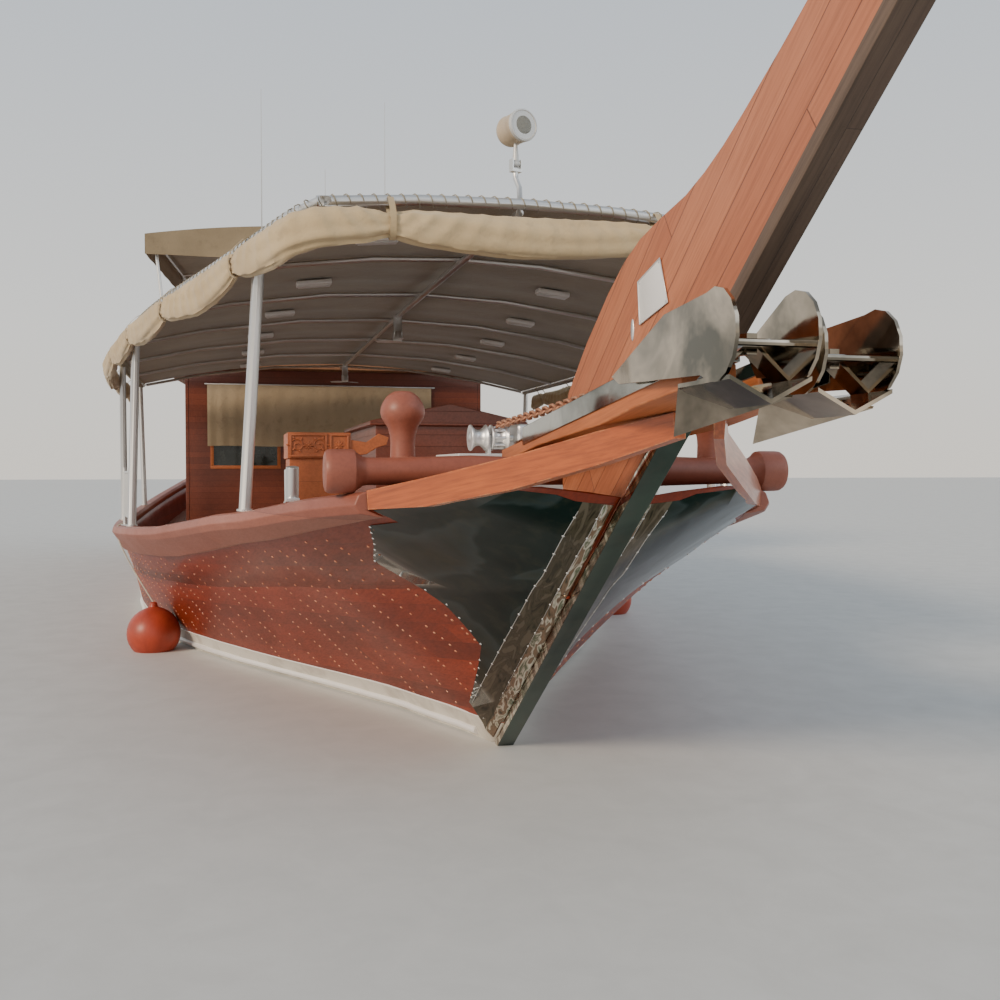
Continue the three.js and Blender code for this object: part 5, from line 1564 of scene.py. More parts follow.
@dataclass
class GroundTackle:
    """The anchors in their chutes, their chains, and the windlass on its white bed."""

    wire: float = 0.011
    link: float = 0.094
    drum_height: float = 2.315
    port_short: float = 0.2

    def build(self) -> None:
        """Builds the tackle of both sides."""
        recast("windlass_bed", "plate", WHITE, 0.006)
        recast_sides("chute_liner", "plate", LINER, 0.003)
        recast_sides("anchor", "plates", ANCHOR_STEEL, 0.003, 2, 25)
        self.shackle_chains()
        self.build_windlass()

    def shackle_chains(self) -> None:
        """Hangs a row of links in the place of each plain chain."""
        for side in SIDES:
            slide = self.port_short if side > 0 else 0.0
            start = Vector((at(0.56), side * 0.195, self.drum_height + 0.087))
            end = Vector((at(3.06 - slide), side * 0.225, 2.484 - 0.104 * slide))
            steps = int((end - start).length / (self.link * 0.74))
            along = (end - start).normalized()
            places = []
            for step in range(steps + 1):
                place = start.lerp(end, step / steps)
                turn = along.to_track_quat("X", "Z").to_matrix().to_4x4()
                twist = Matrix.Rotation(math.radians(45 + 90 * (step % 2)), 4, "X")
                places.append(Matrix.Translation(place) @ turn @ twist)
            chain = scattered(side_name("chain_links", side), self.model_link(), places)
            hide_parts(side_name("anchor_chain", side))
            dress(chain, RUST)

    def model_link(self) -> Piece:
        """Returns one link, made at the origin along X."""
        route = []
        half = self.link / 2 - self.wire
        for step in range(14):
            angle = math.tau * step / 14
            shift = half * 0.55 * (1 if math.cos(angle) > 0 else -1)
            route.append((shift + half * 0.62 * math.cos(angle), 0.62 * half * 1.05 * math.sin(angle), 0))
        return swept("link", route, self.wire * 0.8, 1, closed=True)

    def build_windlass(self) -> None:
        """Builds the motor, the ribbed chain wheels and the warping drums."""
        x, z = at(0.56), self.drum_height
        parts = [block("motor", (at(0.43), -0.093, 2.2008), (at(0.7), 0.093, 2.41), 0.03, 4)]
        parts.append(rod("shaft", (x, -0.4, z), (x, 0.4, z), 0.024, 20))
        wheel = [
            (0.05, -0.06), (0.089, -0.06), (0.092, -0.054), (0.088, -0.046), (0.072, -0.036), (0.058, -0.016),
        ]
        wheel += [(0.055, 0.0)] + [(radius, -height) for radius, height in reversed(wheel)]
        for side in SIDES:
            for y in (0.195, 0.34):
                parts.append(turned("drum", wheel, (x, side * y, z), axis=(0, 1, 0), sides=36))
            for turn in range(8):
                angle = math.tau * turn / 8
                ahead, up = x + 0.07 * math.cos(angle), z + 0.07 * math.sin(angle)
                near, far = (ahead, side * 0.195 - 0.04, up), (ahead, side * 0.195 + 0.04, up)
                parts.append(rod("whelp", near, far, 0.011, 8))
            low = (x - 0.04, side * 0.2675 - 0.0125, 2.2008)
            parts.append(block("bearer", low, (x + 0.04, side * 0.2675 + 0.0125, z + 0.02), 0.008))
            cap = [(0.04, 0), (0.038, 0.012), (0.02, 0.02), (0.006, 0.022)]
            parts.append(turned("cap", cap, (x, side * 0.4 - side * 0.012, z), axis=(0, side, 0), sides=24))
        windlass = join("windlass_machine", parts)
        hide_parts("windlass")
        dress(windlass, STEEL)


# Cloth, and what hangs on the awning's frame.

EDGE_ROWS = (
    (-12.7, 3.6, 3.6, 4.05), (-9.0, 3.56, 3.6, 4.05), (-6.7, 3.41, 3.6, 4.05), (-4.3, 2.98, 3.65, 4.04),
    (-2.8, 2.6, 3.7, 4.03), (-1.3, 2.08, 3.78, 4.01), (0.14, 1.6, 3.86, 3.985), (0.42, 1.4, 3.91, 3.98),
)


def awning_line(ahead: float) -> tuple[float, float, float]:
    """Reads the awning's shape at one place along the boat.

    Args:
        ahead: How far ahead of the stem's foot.

    Returns:
        The half width, the edge's height and the ridge's height.
    """
    aheads, *columns = zip(*EDGE_ROWS)
    half, edge, ridge = (float(np.interp(ahead, aheads, column)) for column in columns)
    return half, edge, ridge


def awning_height(ahead: float, share: float) -> float:
    """Returns the roof's height at a share of its half width."""
    _, edge, ridge = awning_line(ahead)
    return edge + (ridge - edge) * (1 - share * share)


def grid_mesh(name: str, points: np.ndarray, cut: np.ndarray) -> Piece:
    """Shapes a flat grid, and maps it with its flat cut.

    Args:
        name: The mesh's name.
        points: The place of each crossing, as rows by columns by three.
        cut: Where each crossing lay on the flat cloth, as rows by columns by two.

    Returns:
        The new object.
    """
    y_faces, x_faces = (count - 1 for count in points.shape[:2])
    piece = fresh(bpy.ops.mesh.primitive_grid_add, x_subdivisions=x_faces, y_subdivisions=y_faces, size=1)
    piece.name = name
    mesh = piece.data
    mesh.vertices.foreach_set("co", points.reshape(-1))
    mesh.update()
    for layer in list(mesh.uv_layers):
        mesh.uv_layers.remove(layer)
    layer = mesh.uv_layers.new(name="cloth")
    flat = cut.reshape(-1, 2)
    for loop in mesh.loops:
        layer.data[loop.index].uv = flat[loop.vertex_index]
    return piece


def thickened(sheet: Piece, thick: float) -> Piece:
    """Gives a sheet its thickness."""
    finish_with(sheet, "SOLIDIFY", thickness=thick, offset=0, use_even_offset=False)
    return smooth(sheet, 60)


def draped(
    name: str, rows: np.ndarray, columns: np.ndarray, rule: Callable[[float, float], Crossing],
    thick: float = 0.003,
) -> tuple[Piece, float]:
    """Shapes a sheet of cloth by a rule.

    Args:
        name: The sheet's name.
        rows: The rows' own values.
        columns: The columns' own values.
        rule: Takes a row's and a column's value, and returns their crossing's place and its place when flat.
        thick: The cloth's thickness.

    Returns:
        The sheet and the area of one of its faces.
    """
    crossings = [[rule(float(row), float(column)) for column in columns] for row in rows]
    points, cut = (np.array([[crossing[i] for crossing in line] for line in crossings]) for i in (0, 1))
    sheet = grid_mesh(name, points, cut)
    area = sum(face.area for face in sheet.data.polygons)
    return thickened(sheet, thick), area


def route_frames(route: Sequence[Point], step: float) -> Walk:
    """Walks along a rounded route in even steps.

    Args:
        route: The corner points.
        step: The length of one step.

    Returns:
        For each step the distance walked, the place, the direction and the direction to the right.
    """
    knots = [Vector(p) for p in route]
    knots = [knots[0] * 2 - knots[1], *knots, knots[-1] * 2 - knots[-2]]
    fine = []
    for a, b, c, d in zip(knots, knots[1:], knots[2:], knots[3:]):
        for part in range(24):
            t = part / 24
            bend, twist = 2 * a - 5 * b + 4 * c - d, 3 * b - a - 3 * c + d
            fine.append((2 * b + (c - a) * t + bend * t * t + twist * t**3) / 2)
    fine.append(knots[-2])
    walked = np.concatenate([[0], np.cumsum([(q - p).length for p, q in zip(fine, fine[1:])])])
    spots = np.array([tuple(p) for p in fine])
    stops = np.linspace(0, walked[-1], max(2, int(walked[-1] / step)))
    places = [Vector(p) for p in np.stack([np.interp(stops, walked, spots[:, i]) for i in range(3)], axis=1)]
    frames = []
    for i, (stop, place) in enumerate(zip(stops, places)):
        along = (places[min(i + 1, len(places) - 1)] - places[max(i - 1, 0)]).normalized()
        right = along.cross(Vector((0, 0, 1))).normalized()
        frames.append((float(stop), place, along, right))
    return frames


@dataclass
class Awning:
    """The main awning: its cloth, the rolled curtains under its edge, lacing, straps, lamps and fans."""

    front: float = 0.37
    back: float = -12.29
    roll_wide: float = 0.07
    roll_tall: float = 0.125
    tie_pitch: float = 1.75
    hang: float = 0.03
    crease_deep: float = 0.017
    fullest: float = 11.4
    lacing_pitch: float = 0.095
    lamp_share: float = 0.47
    lamp_drop: float = 0.072
    fore_bar: float = 0.42
    bay: float = 2.1
    dice: random.Random = field(default_factory=lambda: random.Random(SEED + 1))

    def build(self) -> None:
        """Builds the awning from its frame outwards."""
        for side in SIDES:
            node = side_name("awning_rail", side)
            recast(node, "tubes", TUBE, 0, degrees=40)
        recast("awning_roof_frame", "", TUBE, 0, degrees=40, name="awning_roof_tubes")
        self.spread_cloth()
        self.roll_curtains()
        self.lace()
        self.hang_lamps()
        self.dress_fans()

    def spread_cloth(self) -> None:
        """Spreads the roof cloth over its bars, sagging a little between them."""

        def drape(ahead: float, share: float) -> Crossing:
            """Returns the cloth's place at a share of its half width.

            Args:
                ahead: How far ahead.
                share: The share of the half width, to port.
            """
            half = awning_line(ahead)[0]
            reach = 1 - 0.055 / half
            inner = 1 - abs(share) ** 3
            sag = 0.026 * math.sin(math.pi * ((self.fore_bar - ahead) / self.bay % 1.0)) ** 2 * inner
            wave = 0.004 * math.sin(ahead * 9.0 + 3.0 * share) * inner
            z = awning_height(ahead, reach * share) + 0.016 - sag + wave
            return (at(ahead), share * reach * half, z), (share * half, ahead)

        rows, columns = np.linspace(self.back, self.front, 150), np.linspace(-1, 1, 65)
        sheet, area = draped("awning_roof_cloth", rows, columns, drape)
        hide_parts("awning_cloth")
        dress(sheet, CANVAS)

    def outward(self, place: Vector, right: Vector) -> Vector:
        """Turns a direction away from the awning's middle."""
        return right if right.dot(Vector((place.x - at(-4), place.y, 0))) > 0 else -right

    def curtain_route(self) -> list[Point]:
        """Returns the middle line of the rolled curtains, round the awning's front."""

        def run(side: int) -> list[Point]:
            """Returns one side's line, from the stern forward.

            Args:
                side: -1 for starboard, 1 for port.
            """
            line = []
            for ahead in (-12.0, -9.0, -6.7, -4.3, -2.8, -1.3):
                half, edge, _ = awning_line(ahead)
                line.append((at(ahead), side * (half + 0.117), edge - 0.15))
            return line + [(at(0.21), side * 1.715, 3.71), (at(0.48), side * 1.52, 3.76)]

        front = [(at(0.537), y, 3.78) for y in (-1.25, -0.6, 0.0, 0.6, 1.25)]
        return run(-1) + front + run(1)[::-1]

    def tie_places(self, length: float) -> list[float]:
        """Spaces the ties along the bundle, a little unevenly.

        Args:
            length: The bundle's whole length.

        Returns:
            How far along it each tie stands.
        """
        count = round(length / self.tie_pitch)
        pitch = length / count
        return [pitch * (step + 0.5 + self.dice.uniform(-0.16, 0.16)) for step in range(count)]

    def roll_curtains(self) -> None:
        """Rolls the curtains: a bundle that sags between ties, with drooping folds and slanted creases."""
        frames = route_frames(self.curtain_route(), 0.03)
        ties = self.tie_places(frames[-1][0])
        turns = np.linspace(0, math.tau, 45)
        points = np.zeros((len(frames), len(turns), 3))
        cut = np.zeros((len(frames), len(turns), 2))
        phases = [self.dice.uniform(0, math.tau) for _ in range(6)]
        for i, (walked, place, _, right) in enumerate(frames):
            before = max([tie for tie in ties if tie <= walked], default=ties[0] - self.tie_pitch)
            after = min([tie for tie in ties if tie > walked], default=ties[-1] + self.tie_pitch)
            near = min(abs(walked - before), abs(after - walked))
            share = (walked - before) / (after - before)
            pinch = math.exp(-((near / 0.11) ** 2))
            slack = math.sin(math.pi * share) ** 1.2
            swell = 1.0 - 0.3 * pinch + 0.08 * slack
            patch = 0.5 + 0.5 * math.sin(walked * 2.3 + phases[5])
            full = slack * math.exp(-(((walked - self.fullest) / 0.9) ** 2))
            drift = math.sin(walked * 1.7 + phases[0]) + 0.6 * math.sin(walked * 3.9 + phases[1])
            lean = (share - 0.5) * 2.2
            for j, angle in enumerate(turns):
                drooped = angle + 0.55 * slack * math.cos(angle)
                slant = 17 * walked + 2.6 * lean * math.sin(angle) + 0.9 * drift + phases[4]
                crease = 1 - 2 * abs(math.sin(slant)) ** 0.7
                fold = 0.06 * math.sin(5 * drooped + 0.9 * drift + phases[2])
                fold += 0.06 * (1 - 2 * abs(math.sin(3.5 * drooped + lean + phases[3])) ** 0.6)
                relief = crease * (0.4 + 0.6 * patch) * (0.62 + 0.38 * math.sin(angle)) * (1 - 0.7 * pinch)
                fold += 0.06 * relief
                fold += 0.03 * math.sin(12 * drooped + 3.4 * lean + phases[5]) * (0.5 + 1.2 * pinch)
                lip = 0.2 * max(0.0, math.sin(drooped * 0.5 + 0.25 * drift)) ** 14
                radius = swell * (0.93 + fold * (0.8 + 0.5 * pinch) + lip * slack)
                wide = (self.roll_wide * radius + self.crease_deep * relief) * math.cos(angle)
                deep = 1.0 + (0.24 * slack + 0.3 * full) * (math.sin(angle) < 0)
                tall = self.roll_tall * radius * deep * math.sin(angle) - 0.02 * slack - self.hang
                points[i, j] = place + right * wide + Vector((0, 0, tall))
                cut[i, j] = (walked, angle * 0.1)
        roll = grid_mesh("rolled_curtains_bundle", points, cut)

        def close() -> None:
            """Joins the bundle's seam and closes its two ends."""
            bpy.ops.mesh.remove_doubles(threshold=0.0005)
            bpy.ops.mesh.select_all(action="DESELECT")
            bpy.ops.mesh.select_mode(type="EDGE")
            bpy.ops.mesh.select_non_manifold()
            bpy.ops.mesh.edge_face_add()
            bpy.ops.mesh.select_all(action="SELECT")
            face_out()
            bpy.ops.mesh.select_mode(type="VERT")

        edit_all(roll, close)
        smooth(roll, 70)
        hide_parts("rolled_curtains")
        dress(roll, ROLL_CANVAS)
        self.strap(frames, ties)

    def strap(self, frames: Walk, ties: list[float]) -> None:
        """Straps the bundle to the tube above it at each tie.

        Args:
            frames: The walk along the bundle.
            ties: How far along it each tie is.
        """
        loop = (
            (-0.117, 0.194), (-0.06, 0.168), (0.0, 0.108), (0.042, 0.058), (0.061, 0.0), (0.058, -0.065),
            (0.038, -0.112), (0.0, -0.13), (-0.038, -0.11), (-0.06, -0.055), (-0.075, 0.03), (-0.12, 0.102),
            (-0.152, 0.122), (-0.16, 0.15), (-0.148, 0.18),
        )
        band = fresh(bpy.ops.mesh.primitive_circle_add, vertices=len(loop), radius=1, fill_type="NOTHING")
        for vertex, (y, z) in zip(band.data.vertices, loop):
            vertex.co = (-0.021, y, z)

        def widen() -> None:
            """Draws the loop out to the strap's width."""
            bpy.ops.mesh.extrude_region_move(TRANSFORM_OT_translate={"value": (0.042, 0, 0)})
            bpy.ops.mesh.select_all(action="SELECT")
            face_out()

        edit_all(band, widen)
        finish_with(band, "SOLIDIFY", thickness=0.003, offset=1)
        places = []
        for tie in ties:
            _, place, _, right = min(frames, key=lambda row: abs(row[0] - tie))
            outward, up = self.outward(place, right), Vector((0, 0, 1))
            turn = Matrix((outward.cross(up), outward, up)).transposed().to_4x4()
            places.append(Matrix.Translation(place) @ turn)
        dress(scattered("curtain_straps", band, places), STRAP)

    def tube_route(self) -> list[Point]:
        """Returns the middle line of the edge tubes, round the awning's front."""

        def run(side: int) -> list[Point]:
            """Returns one side's line, from the stern forward."""
            rows = [-12.3, -9.0, -6.7, -4.3, -2.8, -1.3, 0.14, 0.4]
            return [(at(a), side * awning_line(a)[0], awning_line(a)[1]) for a in rows]

        front = [(at(0.42), y, 3.91 + 0.07 * (1 - (y / 1.43) ** 2)) for y in (-1.1, -0.5, 0.0, 0.5, 1.1)]
        return run(-1) + front + run(1)[::-1]

    def lace(self) -> None:
        """Laces the cloth to its tubes with one cord wound round and round."""
        route = []
        for walked, place, _, right in route_frames(self.tube_route(), self.lacing_pitch / 9):
            angle = math.tau * walked / self.lacing_pitch
            inward = -self.outward(place, right) * (0.026 + 0.068 * math.cos(angle))
            route.append(tuple(place + inward + Vector((0, 0, 0.044 * math.sin(angle) + 0.002))))
        dress(swept("awning_lacing", route, 0.0045, 1), LACE)

    def hang_lamps(self) -> None:
        """Hangs two rows of flat lamps under the roof, one pair in each bay."""
        places = []
        share = self.lamp_share
        for bay in range(6):
            ahead = self.fore_bar - self.bay * (bay + 0.5)
            half = awning_line(ahead)[0]
            for side in SIDES:
                fall = awning_height(ahead, share - 0.05) - awning_height(ahead, share + 0.05)
                tilt = Matrix.Rotation(-side * math.atan2(fall, 0.1 * half), 4, "X")
                place = (at(ahead), side * share * half, awning_height(ahead, share) - self.lamp_drop)
                places.append(Matrix.Translation(place) @ tilt)
        case = block("case", (-0.07, -0.17, -0.005), (0.07, 0.17, 0.045), 0.012, 3)
        lens = block("lens", (-0.055, -0.155, -0.016), (0.055, 0.155, -0.004), 0.006, 3)
        dress(scattered("awning_lamp_cases", case, places), WHITE)
        dress(scattered("awning_lamp_lenses", lens, places), FROSTED)

    def dress_fans(self) -> None:
        """Gives each fan curved blades and a round motor cover."""
        for ahead, body in ((-5.3, Body.FAN_1), (-11.6, Body.FAN_2)):
            name = body.value
            middle = (at(ahead), 0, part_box(name)[1].z)
            hub = [(0.03, 0), (0.052, -0.004), (0.055, -0.014), (0.052, -0.026), (0.03, -0.033)]
            parts = [turned("hub", [*hub, (0.008, -0.034)], middle, sides=28)]
            for turn in range(3):
                place = Matrix.Translation(Vector(middle) + Vector((0, 0, -0.018)))
                parts.append(moved(self.fan_blade(), place @ Matrix.Rotation(math.tau * turn / 3, 4, "Z")))
            fan = join(f"{name}_rotor", parts)
            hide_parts(name)
            dress(fan, WHITE, body)

    def fan_blade(self) -> Piece:
        """Returns one blade with a soft outline and a slight twist, made along X."""

        def shape(share: float, across: float) -> Crossing:
            """Returns a place on the blade, out from the hub and across it.

            Args:
                share: How far out, from 0 to 1.
                across: How far across, from -1 to 1.
            """
            y = across * (0.03 + 0.018 * math.sin(math.pi * min(share * 1.15, 1.0)))
            z = 0.24 * y * (1 - 0.3 * share) - 0.004 * across * across
            return (0.04 + 0.24 * share, y, z), (share, across)

        return draped("blade", np.linspace(0, 1, 9), np.linspace(-1, 1, 5), shape, 0.004)[0]


@dataclass
class Searchlight:
    """The lamp on its swivel post: a drum with a rim, a reflector and a glass front."""

    pivot: Point = (10.8, 0.0, 4.295)
    rise: float = 0.25
    yaw: float = 17.8

    def build(self) -> None:
        """Builds the lamp."""
        swing = math.radians(self.yaw)
        axis = (math.cos(swing), math.sin(swing), 0.0)
        pin = (-math.sin(swing), math.cos(swing), 0.0)
        x, y, z = self.pivot
        centre = (x, y, z + self.rise)
        rows = [
            (0.02, -0.1245), (0.07, -0.124), (0.088, -0.118), (0.1, -0.104), (0.109, -0.084), (0.111, -0.07),
            (0.108, -0.066), (0.108, 0.05), (0.111, 0.054), (0.1115, 0.07), (0.112, 0.096), (0.109, 0.108),
            (0.101, 0.1105), (0.097, 0.104), (0.09, 0.06), (0.064, 0.0), (0.02, -0.03),
        ]
        drum = turned("searchlight_case", rows, centre, axis=axis, sides=40)
        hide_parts("searchlight")
        dress(drum, LAMP_CASE, Body.LAMP)
        neck = [(0.0215, 0.03), (0.021, 0.06), (0.016, 0.11), (0.0125, 0.15)]
        parts = [turned("neck", neck, self.pivot, sides=20)]
        rim = [(0.1115, 0.084), (0.1145, 0.086), (0.115, 0.1), (0.112, 0.111), (0.103, 0.113), (0.101, 0.109)]
        parts.append(turned("rim", rim, centre, axis=axis, sides=40))
        ball = [(0.012, -0.0295), (0.02, -0.027), (0.0255, -0.012)]
        ball += [(radius, -height) for radius, height in reversed(ball)]
        parts.append(turned("ball", ball, self.pivot, axis=pin, sides=24))
        parts.append(rod("stub", self.pivot, (x, y, z + 0.05), 0.021, 20))
        dress(join("searchlight_neck", parts), LAMP_GREY, Body.LAMP)
        bulb = [(0.008, -0.03), (0.018, 0.0), (0.02, 0.02), (0.012, 0.036), (0.003, 0.04)]
        dress(turned("searchlight_bulb", bulb, centre, axis=axis, sides=16), FROSTED, Body.LAMP)
        glass = [(0.098, 0.1), (0.098, 0.104), (0.08, 0.108), (0.04, 0.1105), (0.01, 0.111)]
        dress(turned("searchlight_glass", glass, centre, axis=axis, sides=40), LENS, Body.LAMP)


@dataclass
class UpperWorks:
    """The deckhouse with its windows and curtain, and the upper deck with its rail and awning."""

    front: float = -12.9
    back: float = -19.9
    front_half: float = 2.85
    back_half: float = 2.25
    windows: tuple[float, ...] = (-14.1, -15.9, -17.7)
    curtain: tuple[float, float] = (4.33, 1.17)
    deck_front: float = -12.5
    deck_back: float = -20.3
    rail_inset: float = 0.06

    def build(self) -> None:
        """Builds everything aft of the main awning."""
        for node in ("cabin_front", "cabin_back", "cabin_wall_port", "cabin_wall_starboard"):
            recast(node, "panelling", PANELLING, 0.006)
        recast("upper_deck", "boards", DECKING, 0.01)
        recast("helm_console", "panelling", PANELLING, 0.012, 3)
        recast("upper_rail", "timber", RAIL_PAINT, 0.006, 2, 50)
        recast("stern_ladder", "timber", CARVED_TIMBER, 0.006)
        recast("upper_awning_frame", "", TUBE, 0, degrees=40, name="upper_awning_tubes")
        self.glaze()
        self.hang_curtain()
        self.turn_balusters()
        self.spread_upper_cloth()

    def wall_half(self, ahead: float) -> float:
        """Returns the deckhouse's half width."""
        return float(np.interp(ahead, (self.back, self.front), (self.back_half, self.front_half)))

    def glaze(self) -> None:
        """Puts a moulded frame, a middle bar and a pane in every window."""
        lean = math.atan2(self.front_half - self.back_half, self.front - self.back)
        openings = []
        for side in SIDES:
            for ahead in self.windows:
                inner = side * (self.wall_half(ahead) - 0.03)
                openings.append(((at(ahead), inner, 2.6), side * lean, 1.15, 0.9))
            openings.append(((at(self.front - 0.03), side * 1.75, 2.6), math.pi / 2, 1.2, 0.9))
            openings.append(((at(self.back + 0.03), side * 1.05, 2.75), math.pi / 2, 1.2, 0.8))
        frames, panes = [], []
        out, bar, lap = 0.04, 0.05, 0.012
        for middle, turn, width, height in openings:
            w, h = width / 2, height / 2
            place = Matrix.Translation(middle) @ Matrix.Rotation(turn, 4, "Z")
            for low, high in (
                ((-w - bar, -out, h - lap), (w + bar, out, h + bar)),
                ((-w - bar, -out, -h - bar), (w + bar, out, lap - h)),
                ((-w - bar, -out, -h), (lap - w, out, h)), ((w - lap, -out, -h), (w + bar, out, h)),
                ((-0.018, -0.02, -h), (0.018, 0.02, h)),
            ):
                frames.append(moved(block("bar", low, high), place))
            pane = block("pane", (lap - w, -0.004, lap - h), (w - lap, 0.004, h - lap), 0.001, 1)
            panes.append(moved(pane, place))
        dress(join("cabin_window_frames", frames), CARVED_TIMBER)
        dress(join("cabin_window_panes", panes), PANE)

    def hang_curtain(self) -> None:
        """Hangs the pleated curtain across the deckhouse's front."""
        x, top = at(self.front + 0.045), 3.7

        def hang(drop: float, share: float) -> Crossing:
            """Returns a place on the pleats, down from the bar and across to port.

            Args:
                drop: How far down, from 0 to 1.
                share: How far across, from 0 to 1.
            """
            depth = (0.002 + 0.004 * drop) * math.sin(34 * share * math.pi + 2.0 * math.sin(9 * share))
            depth += 0.008 * math.sin(11 * share + 1.4 * drop)
            z = 3.69 - 1.16 * drop + 0.006 * math.sin(17 * share) * drop
            return (x + depth, -2.45 + 4.28 * share, z), (share * self.curtain[0], drop * self.curtain[1])

        rows, columns = np.linspace(0, 1, 14), np.linspace(0, 1, 260)
        sheet = draped("cabin_front_curtain", rows, columns, hang, 0.002)[0]
        dress(sheet, CANVAS_PALE)
        parts = [rod("curtain_bar", (x, -2.5, top), (x, 1.9, top), 0.012, 12)]
        for y in (-2.47, -0.3, 1.87):
            low = (at(self.front) - 0.002, y - 0.015, top - 0.015)
            parts.append(block("bracket", low, (at(self.front + 0.05), y + 0.015, top + 0.015), 0.004))
        dress(join("curtain_bar", parts), TUBE)

    def deck_half(self, ahead: float) -> float:
        """Returns the upper deck's half width."""
        return float(np.interp(ahead, (self.deck_back, self.deck_front), (2.7, 3.42)))

    def turn_balusters(self) -> None:
        """Turns a row of balusters for the upper deck's rail."""
        low, high = 4.1 + 0.09, 4.1 + 0.92
        span = high - low
        rows = [(0.013, 0), (0.02, 0.12), (0.014, 0.24), (0.017, 0.5)]
        rows += [(radius, 1 - height) for radius, height in reversed(rows[:-1])]
        fore, aft = self.deck_front - self.rail_inset, self.deck_back + self.rail_inset
        wide, narrow = (self.deck_half(ahead) - self.rail_inset for ahead in (fore, aft))
        corners = [(aft, -1.85), (aft, -narrow), (fore, -wide), (fore, wide), (aft, narrow), (aft, -1.15)]
        places = []
        for (x0, y0), (x1, y1) in zip(corners, corners[1:]):
            count = int(math.hypot(x1 - x0, y1 - y0) / 0.165)
            for step in range(1, count):
                share = step / count
                places.append(Matrix.Translation((at(x0 + (x1 - x0) * share), y0 + (y1 - y0) * share, low)))
        model = turned("baluster", [(radius, height * span) for radius, height in rows], sides=8)
        dress(scattered("upper_rail_balusters", model, places), CARVED_TIMBER)

    def spread_upper_cloth(self) -> None:
        """Spreads the upper awning with its hanging valances."""
        front, back, edge, ridge, drop = -12.7, -20.1, 6.4, 6.7, 0.355

        def half(ahead: float) -> float:
            """Returns the cloth's half width."""
            return self.deck_half(ahead) + 0.128

        def height(share: float) -> float:
            """Returns the cloth's height at a share of its half width."""
            return edge + (ridge - edge) * (1 - share * share) + 0.012

        def drape(ahead: float, share: float) -> Crossing:
            """Returns a place on the roof or, past the whole half width, on the valance at its side.

            Args:
                ahead: How far ahead.
                share: The share of the half width, to port.
            """
            dip = math.sin(math.pi * ((ahead + 12.9) / 3.5 % 1.0)) ** 2
            held = max(-1.0, min(1.0, share))
            hang = max(0.0, (abs(share) - 1.0) / 0.1)
            wave = 0.006 * math.sin(ahead * 7) * hang
            y = held * half(ahead) + (wave if share > 0 else -wave) * hang
            z = height(held) - drop * hang - 0.03 * dip * (1 - abs(held) ** 3)
            return (at(ahead), y, z), (held * half(ahead) + math.copysign(drop * hang, share), ahead)

        rows, columns = np.linspace(back, front, 70), np.linspace(-1.1, 1.1, 61)
        roof, area = draped("upper_awning_roof_cloth", rows, columns, drape)
        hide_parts("upper_awning")
        dress(roof, CANVAS)
        for name, ahead, way in (("front", front, -1), ("back", back, 1)):

            def fall(share: float, across: float) -> Crossing:
                """Returns a place on the valance, from its top down and across to port.

                Args:
                    share: How far down, from 0 to 1.
                    across: The share of the half width, to port.
                """
                top = height(across)
                z = top + (edge - drop - top) * share
                wave = 0.006 * math.sin(across * 24) * share
                return (at(ahead) + wave * way, across * half(ahead), z), (across * half(ahead), z)

            rows, columns = np.linspace(0, 1, 8), np.linspace(-1, 1, 90)
            sheet, area = draped(f"upper_awning_{name}_valance", rows, columns, fall)
            dress(sheet, CANVAS)


@dataclass
class Doors:
    """The hung doors with their panels and knobs, and the boarding gates."""

    rib: float = 0.024
    proud: float = 0.009
    margin: float = 0.075
    knob_height: float = 0.47

    def build(self) -> None:
        """Builds the three doors and the two gates, each on its own body."""
        for body in (Body.COMPANION_DOOR, Body.CABIN_DOOR_PORT, Body.CABIN_DOOR_STARBOARD):
            self.panel_door(body)
        for body in (Body.GATE_PORT, Body.GATE_STARBOARD):
            recast(body.value, "tubes", TUBE, degrees=40, body=body)

    def panel_door(self, body: Body) -> None:
        """Rounds the leaf of a body's door and sets two framed panels on each face.

        Args:
            body: The door.
        """
        name = body.value
        leaf = Surface([name])
        low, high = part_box(name)
        free = low.y + 0.045 if body is Body.CABIN_DOOR_PORT else high.y - 0.045
        middle_y, middle_z = (low.y + high.y) / 2, (low.z + high.z) / 2
        recast(name, "leaf", PANELLING, 0.003, 2, 40, body=body)
        inner, outer = low.y + self.margin, high.y - self.margin
        ribs, knobs = [], []
        for way in (-1, 1):
            start = Vector((low.x + way, middle_y, middle_z))
            face, _, _, _ = leaf.tree.ray_cast(start, Vector((-way, 0, 0)))
            for bottom, top in ((low.z + 0.09, middle_z - 0.05), (middle_z + 0.05, high.z - 0.09)):
                ribs += self.frame_round(face.x, way, inner, outer, bottom, top)
            stem = [
                (0.011, -0.001), (0.011, 0.004), (0.006, 0.008), (0.006, 0.02), (0.014, 0.026),
                (0.0165, 0.034), (0.013, 0.042), (0.004, 0.045),
            ]
            place = (face.x, free, low.z + self.knob_height * (high.z - low.z))
            knobs.append(turned("knob", stem, place, axis=(way, 0, 0), sides=20))
        dress(join(f"{name}_panel_mouldings", ribs), PANELLING, body)
        dress(join(f"{name}_knobs", knobs), BRONZE, body)

    def frame_round(
        self, face: float, way: int, inner: float, outer: float, bottom: float, top: float
    ) -> list[Piece]:
        """Makes the four ribs round one panel.

        Args:
            face: The x of the door's face.
            way: 1 on its fore face, -1 on its after face.
            inner: The least y of the panel.
            outer: The greatest y.
            bottom: Its lower edge.
            top: Its upper edge.

        Returns:
            The four ribs.
        """
        near, far = sorted((face - way * 0.001, face + way * self.proud))
        rows = (
            (inner, outer, bottom, bottom + self.rib), (inner, outer, top - self.rib, top),
            (inner, inner + self.rib, bottom, top), (outer - self.rib, outer, bottom, top),
        )
        return [block("rib", (near, y0, z0), (far, y1, z1), 0.004, 3) for y0, y1, z0, z1 in rows]


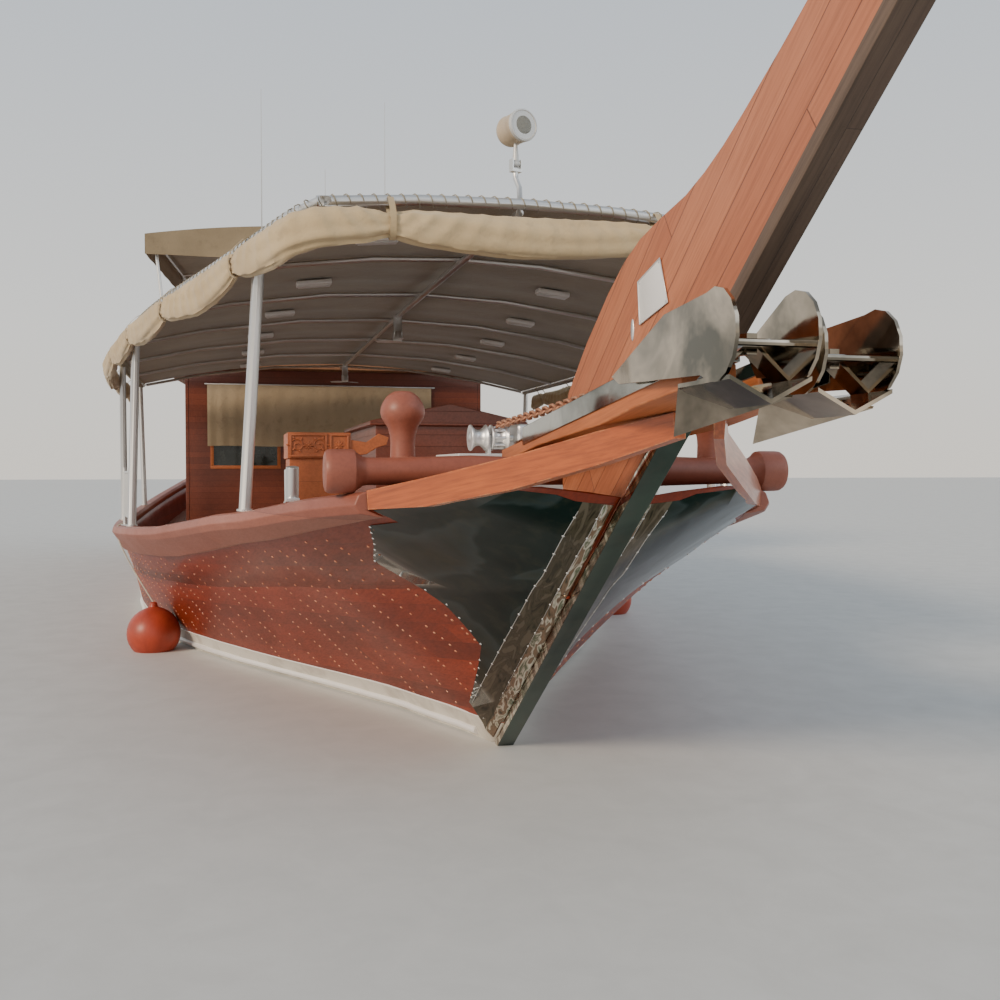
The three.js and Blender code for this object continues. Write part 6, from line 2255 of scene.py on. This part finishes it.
@dataclass
class LowerGear:
    """What lies at or under the waterline: keel, stem, rudder, propeller and the fender balls."""

    balls: tuple[tuple[float, float, int], ...] = ((-5.05, -2.892, -1), (-6.7, 3.337, 1))
    radius: float = 0.3

    def build(self) -> None:
        """Builds the underwater pieces and the fenders."""
        for node in ("keel", "stem"):
            recast(node, "timber", KEEL_TIMBER, 0.01)
        recast("rudder", "timber", KEEL_TIMBER, 0.008, body=Body.RUDDER)
        recast("propeller", "bronze", BRONZE, 0.003, 2, 40, body=Body.PROPELLER)
        recast("helm_wheel", "timber", RAIL_PAINT, 0.003, 2, 40, body=Body.WHEEL)
        for ahead, y, side in self.balls:
            self.hang_ball(ahead, y, side)

    def hang_ball(self, ahead: float, y: float, side: int) -> None:
        """Builds one ball fender with its neck and its lanyard.

        Args:
            ahead: How far ahead of the stem's foot it hangs.
            y: Its middle's offset.
            side: 1 for port, -1 for starboard.
        """
        node = side_name("fender_ball", side)
        rows = []
        for step in range(1, 15):
            angle = math.pi * step / 16 - math.pi / 2
            rows.append((self.radius * math.cos(angle), self.radius * math.sin(angle)))
        rows += [(0.075, 0.292), (0.05, 0.306), (0.042, 0.33), (0.04, 0.352), (0.02, 0.36)]
        ball = turned(f"{node}_vinyl", rows, (at(ahead), y, 0.2), sides=40)
        tie, half, top = (-5.48, 3.277, 1.428) if side < 0 else (-6.7, 3.502, 1.393)
        spots = [
            (at(ahead), y, 0.55), (at(tie), side * (half + 0.112), top - 0.13),
            (at(tie), side * (half + 0.104), top + 0.006), (at(tie), side * (half - 0.02), top + 0.026),
        ]
        lanyard = swept(f"{node}_lanyard", spots, 0.008, 2, curved=True)
        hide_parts(node)
        dress(ball, VINYL)
        dress(lanyard, CORDAGE)


def main() -> None:
    """Builds the dressed dhow, part by part."""
    logging.basicConfig(level=logging.INFO, format="%(message)s")
    build_effects()
    Studio().build()
    for part in (
        Hull(), BowSteel(), Prow(), Rails(), CrossBeam(), Foredeck(), GroundTackle(), Awning(), Searchlight(),
        UpperWorks(), Doors(), LowerGear(),
    ):
        part.build()


if __name__ == "__main__":
    main()
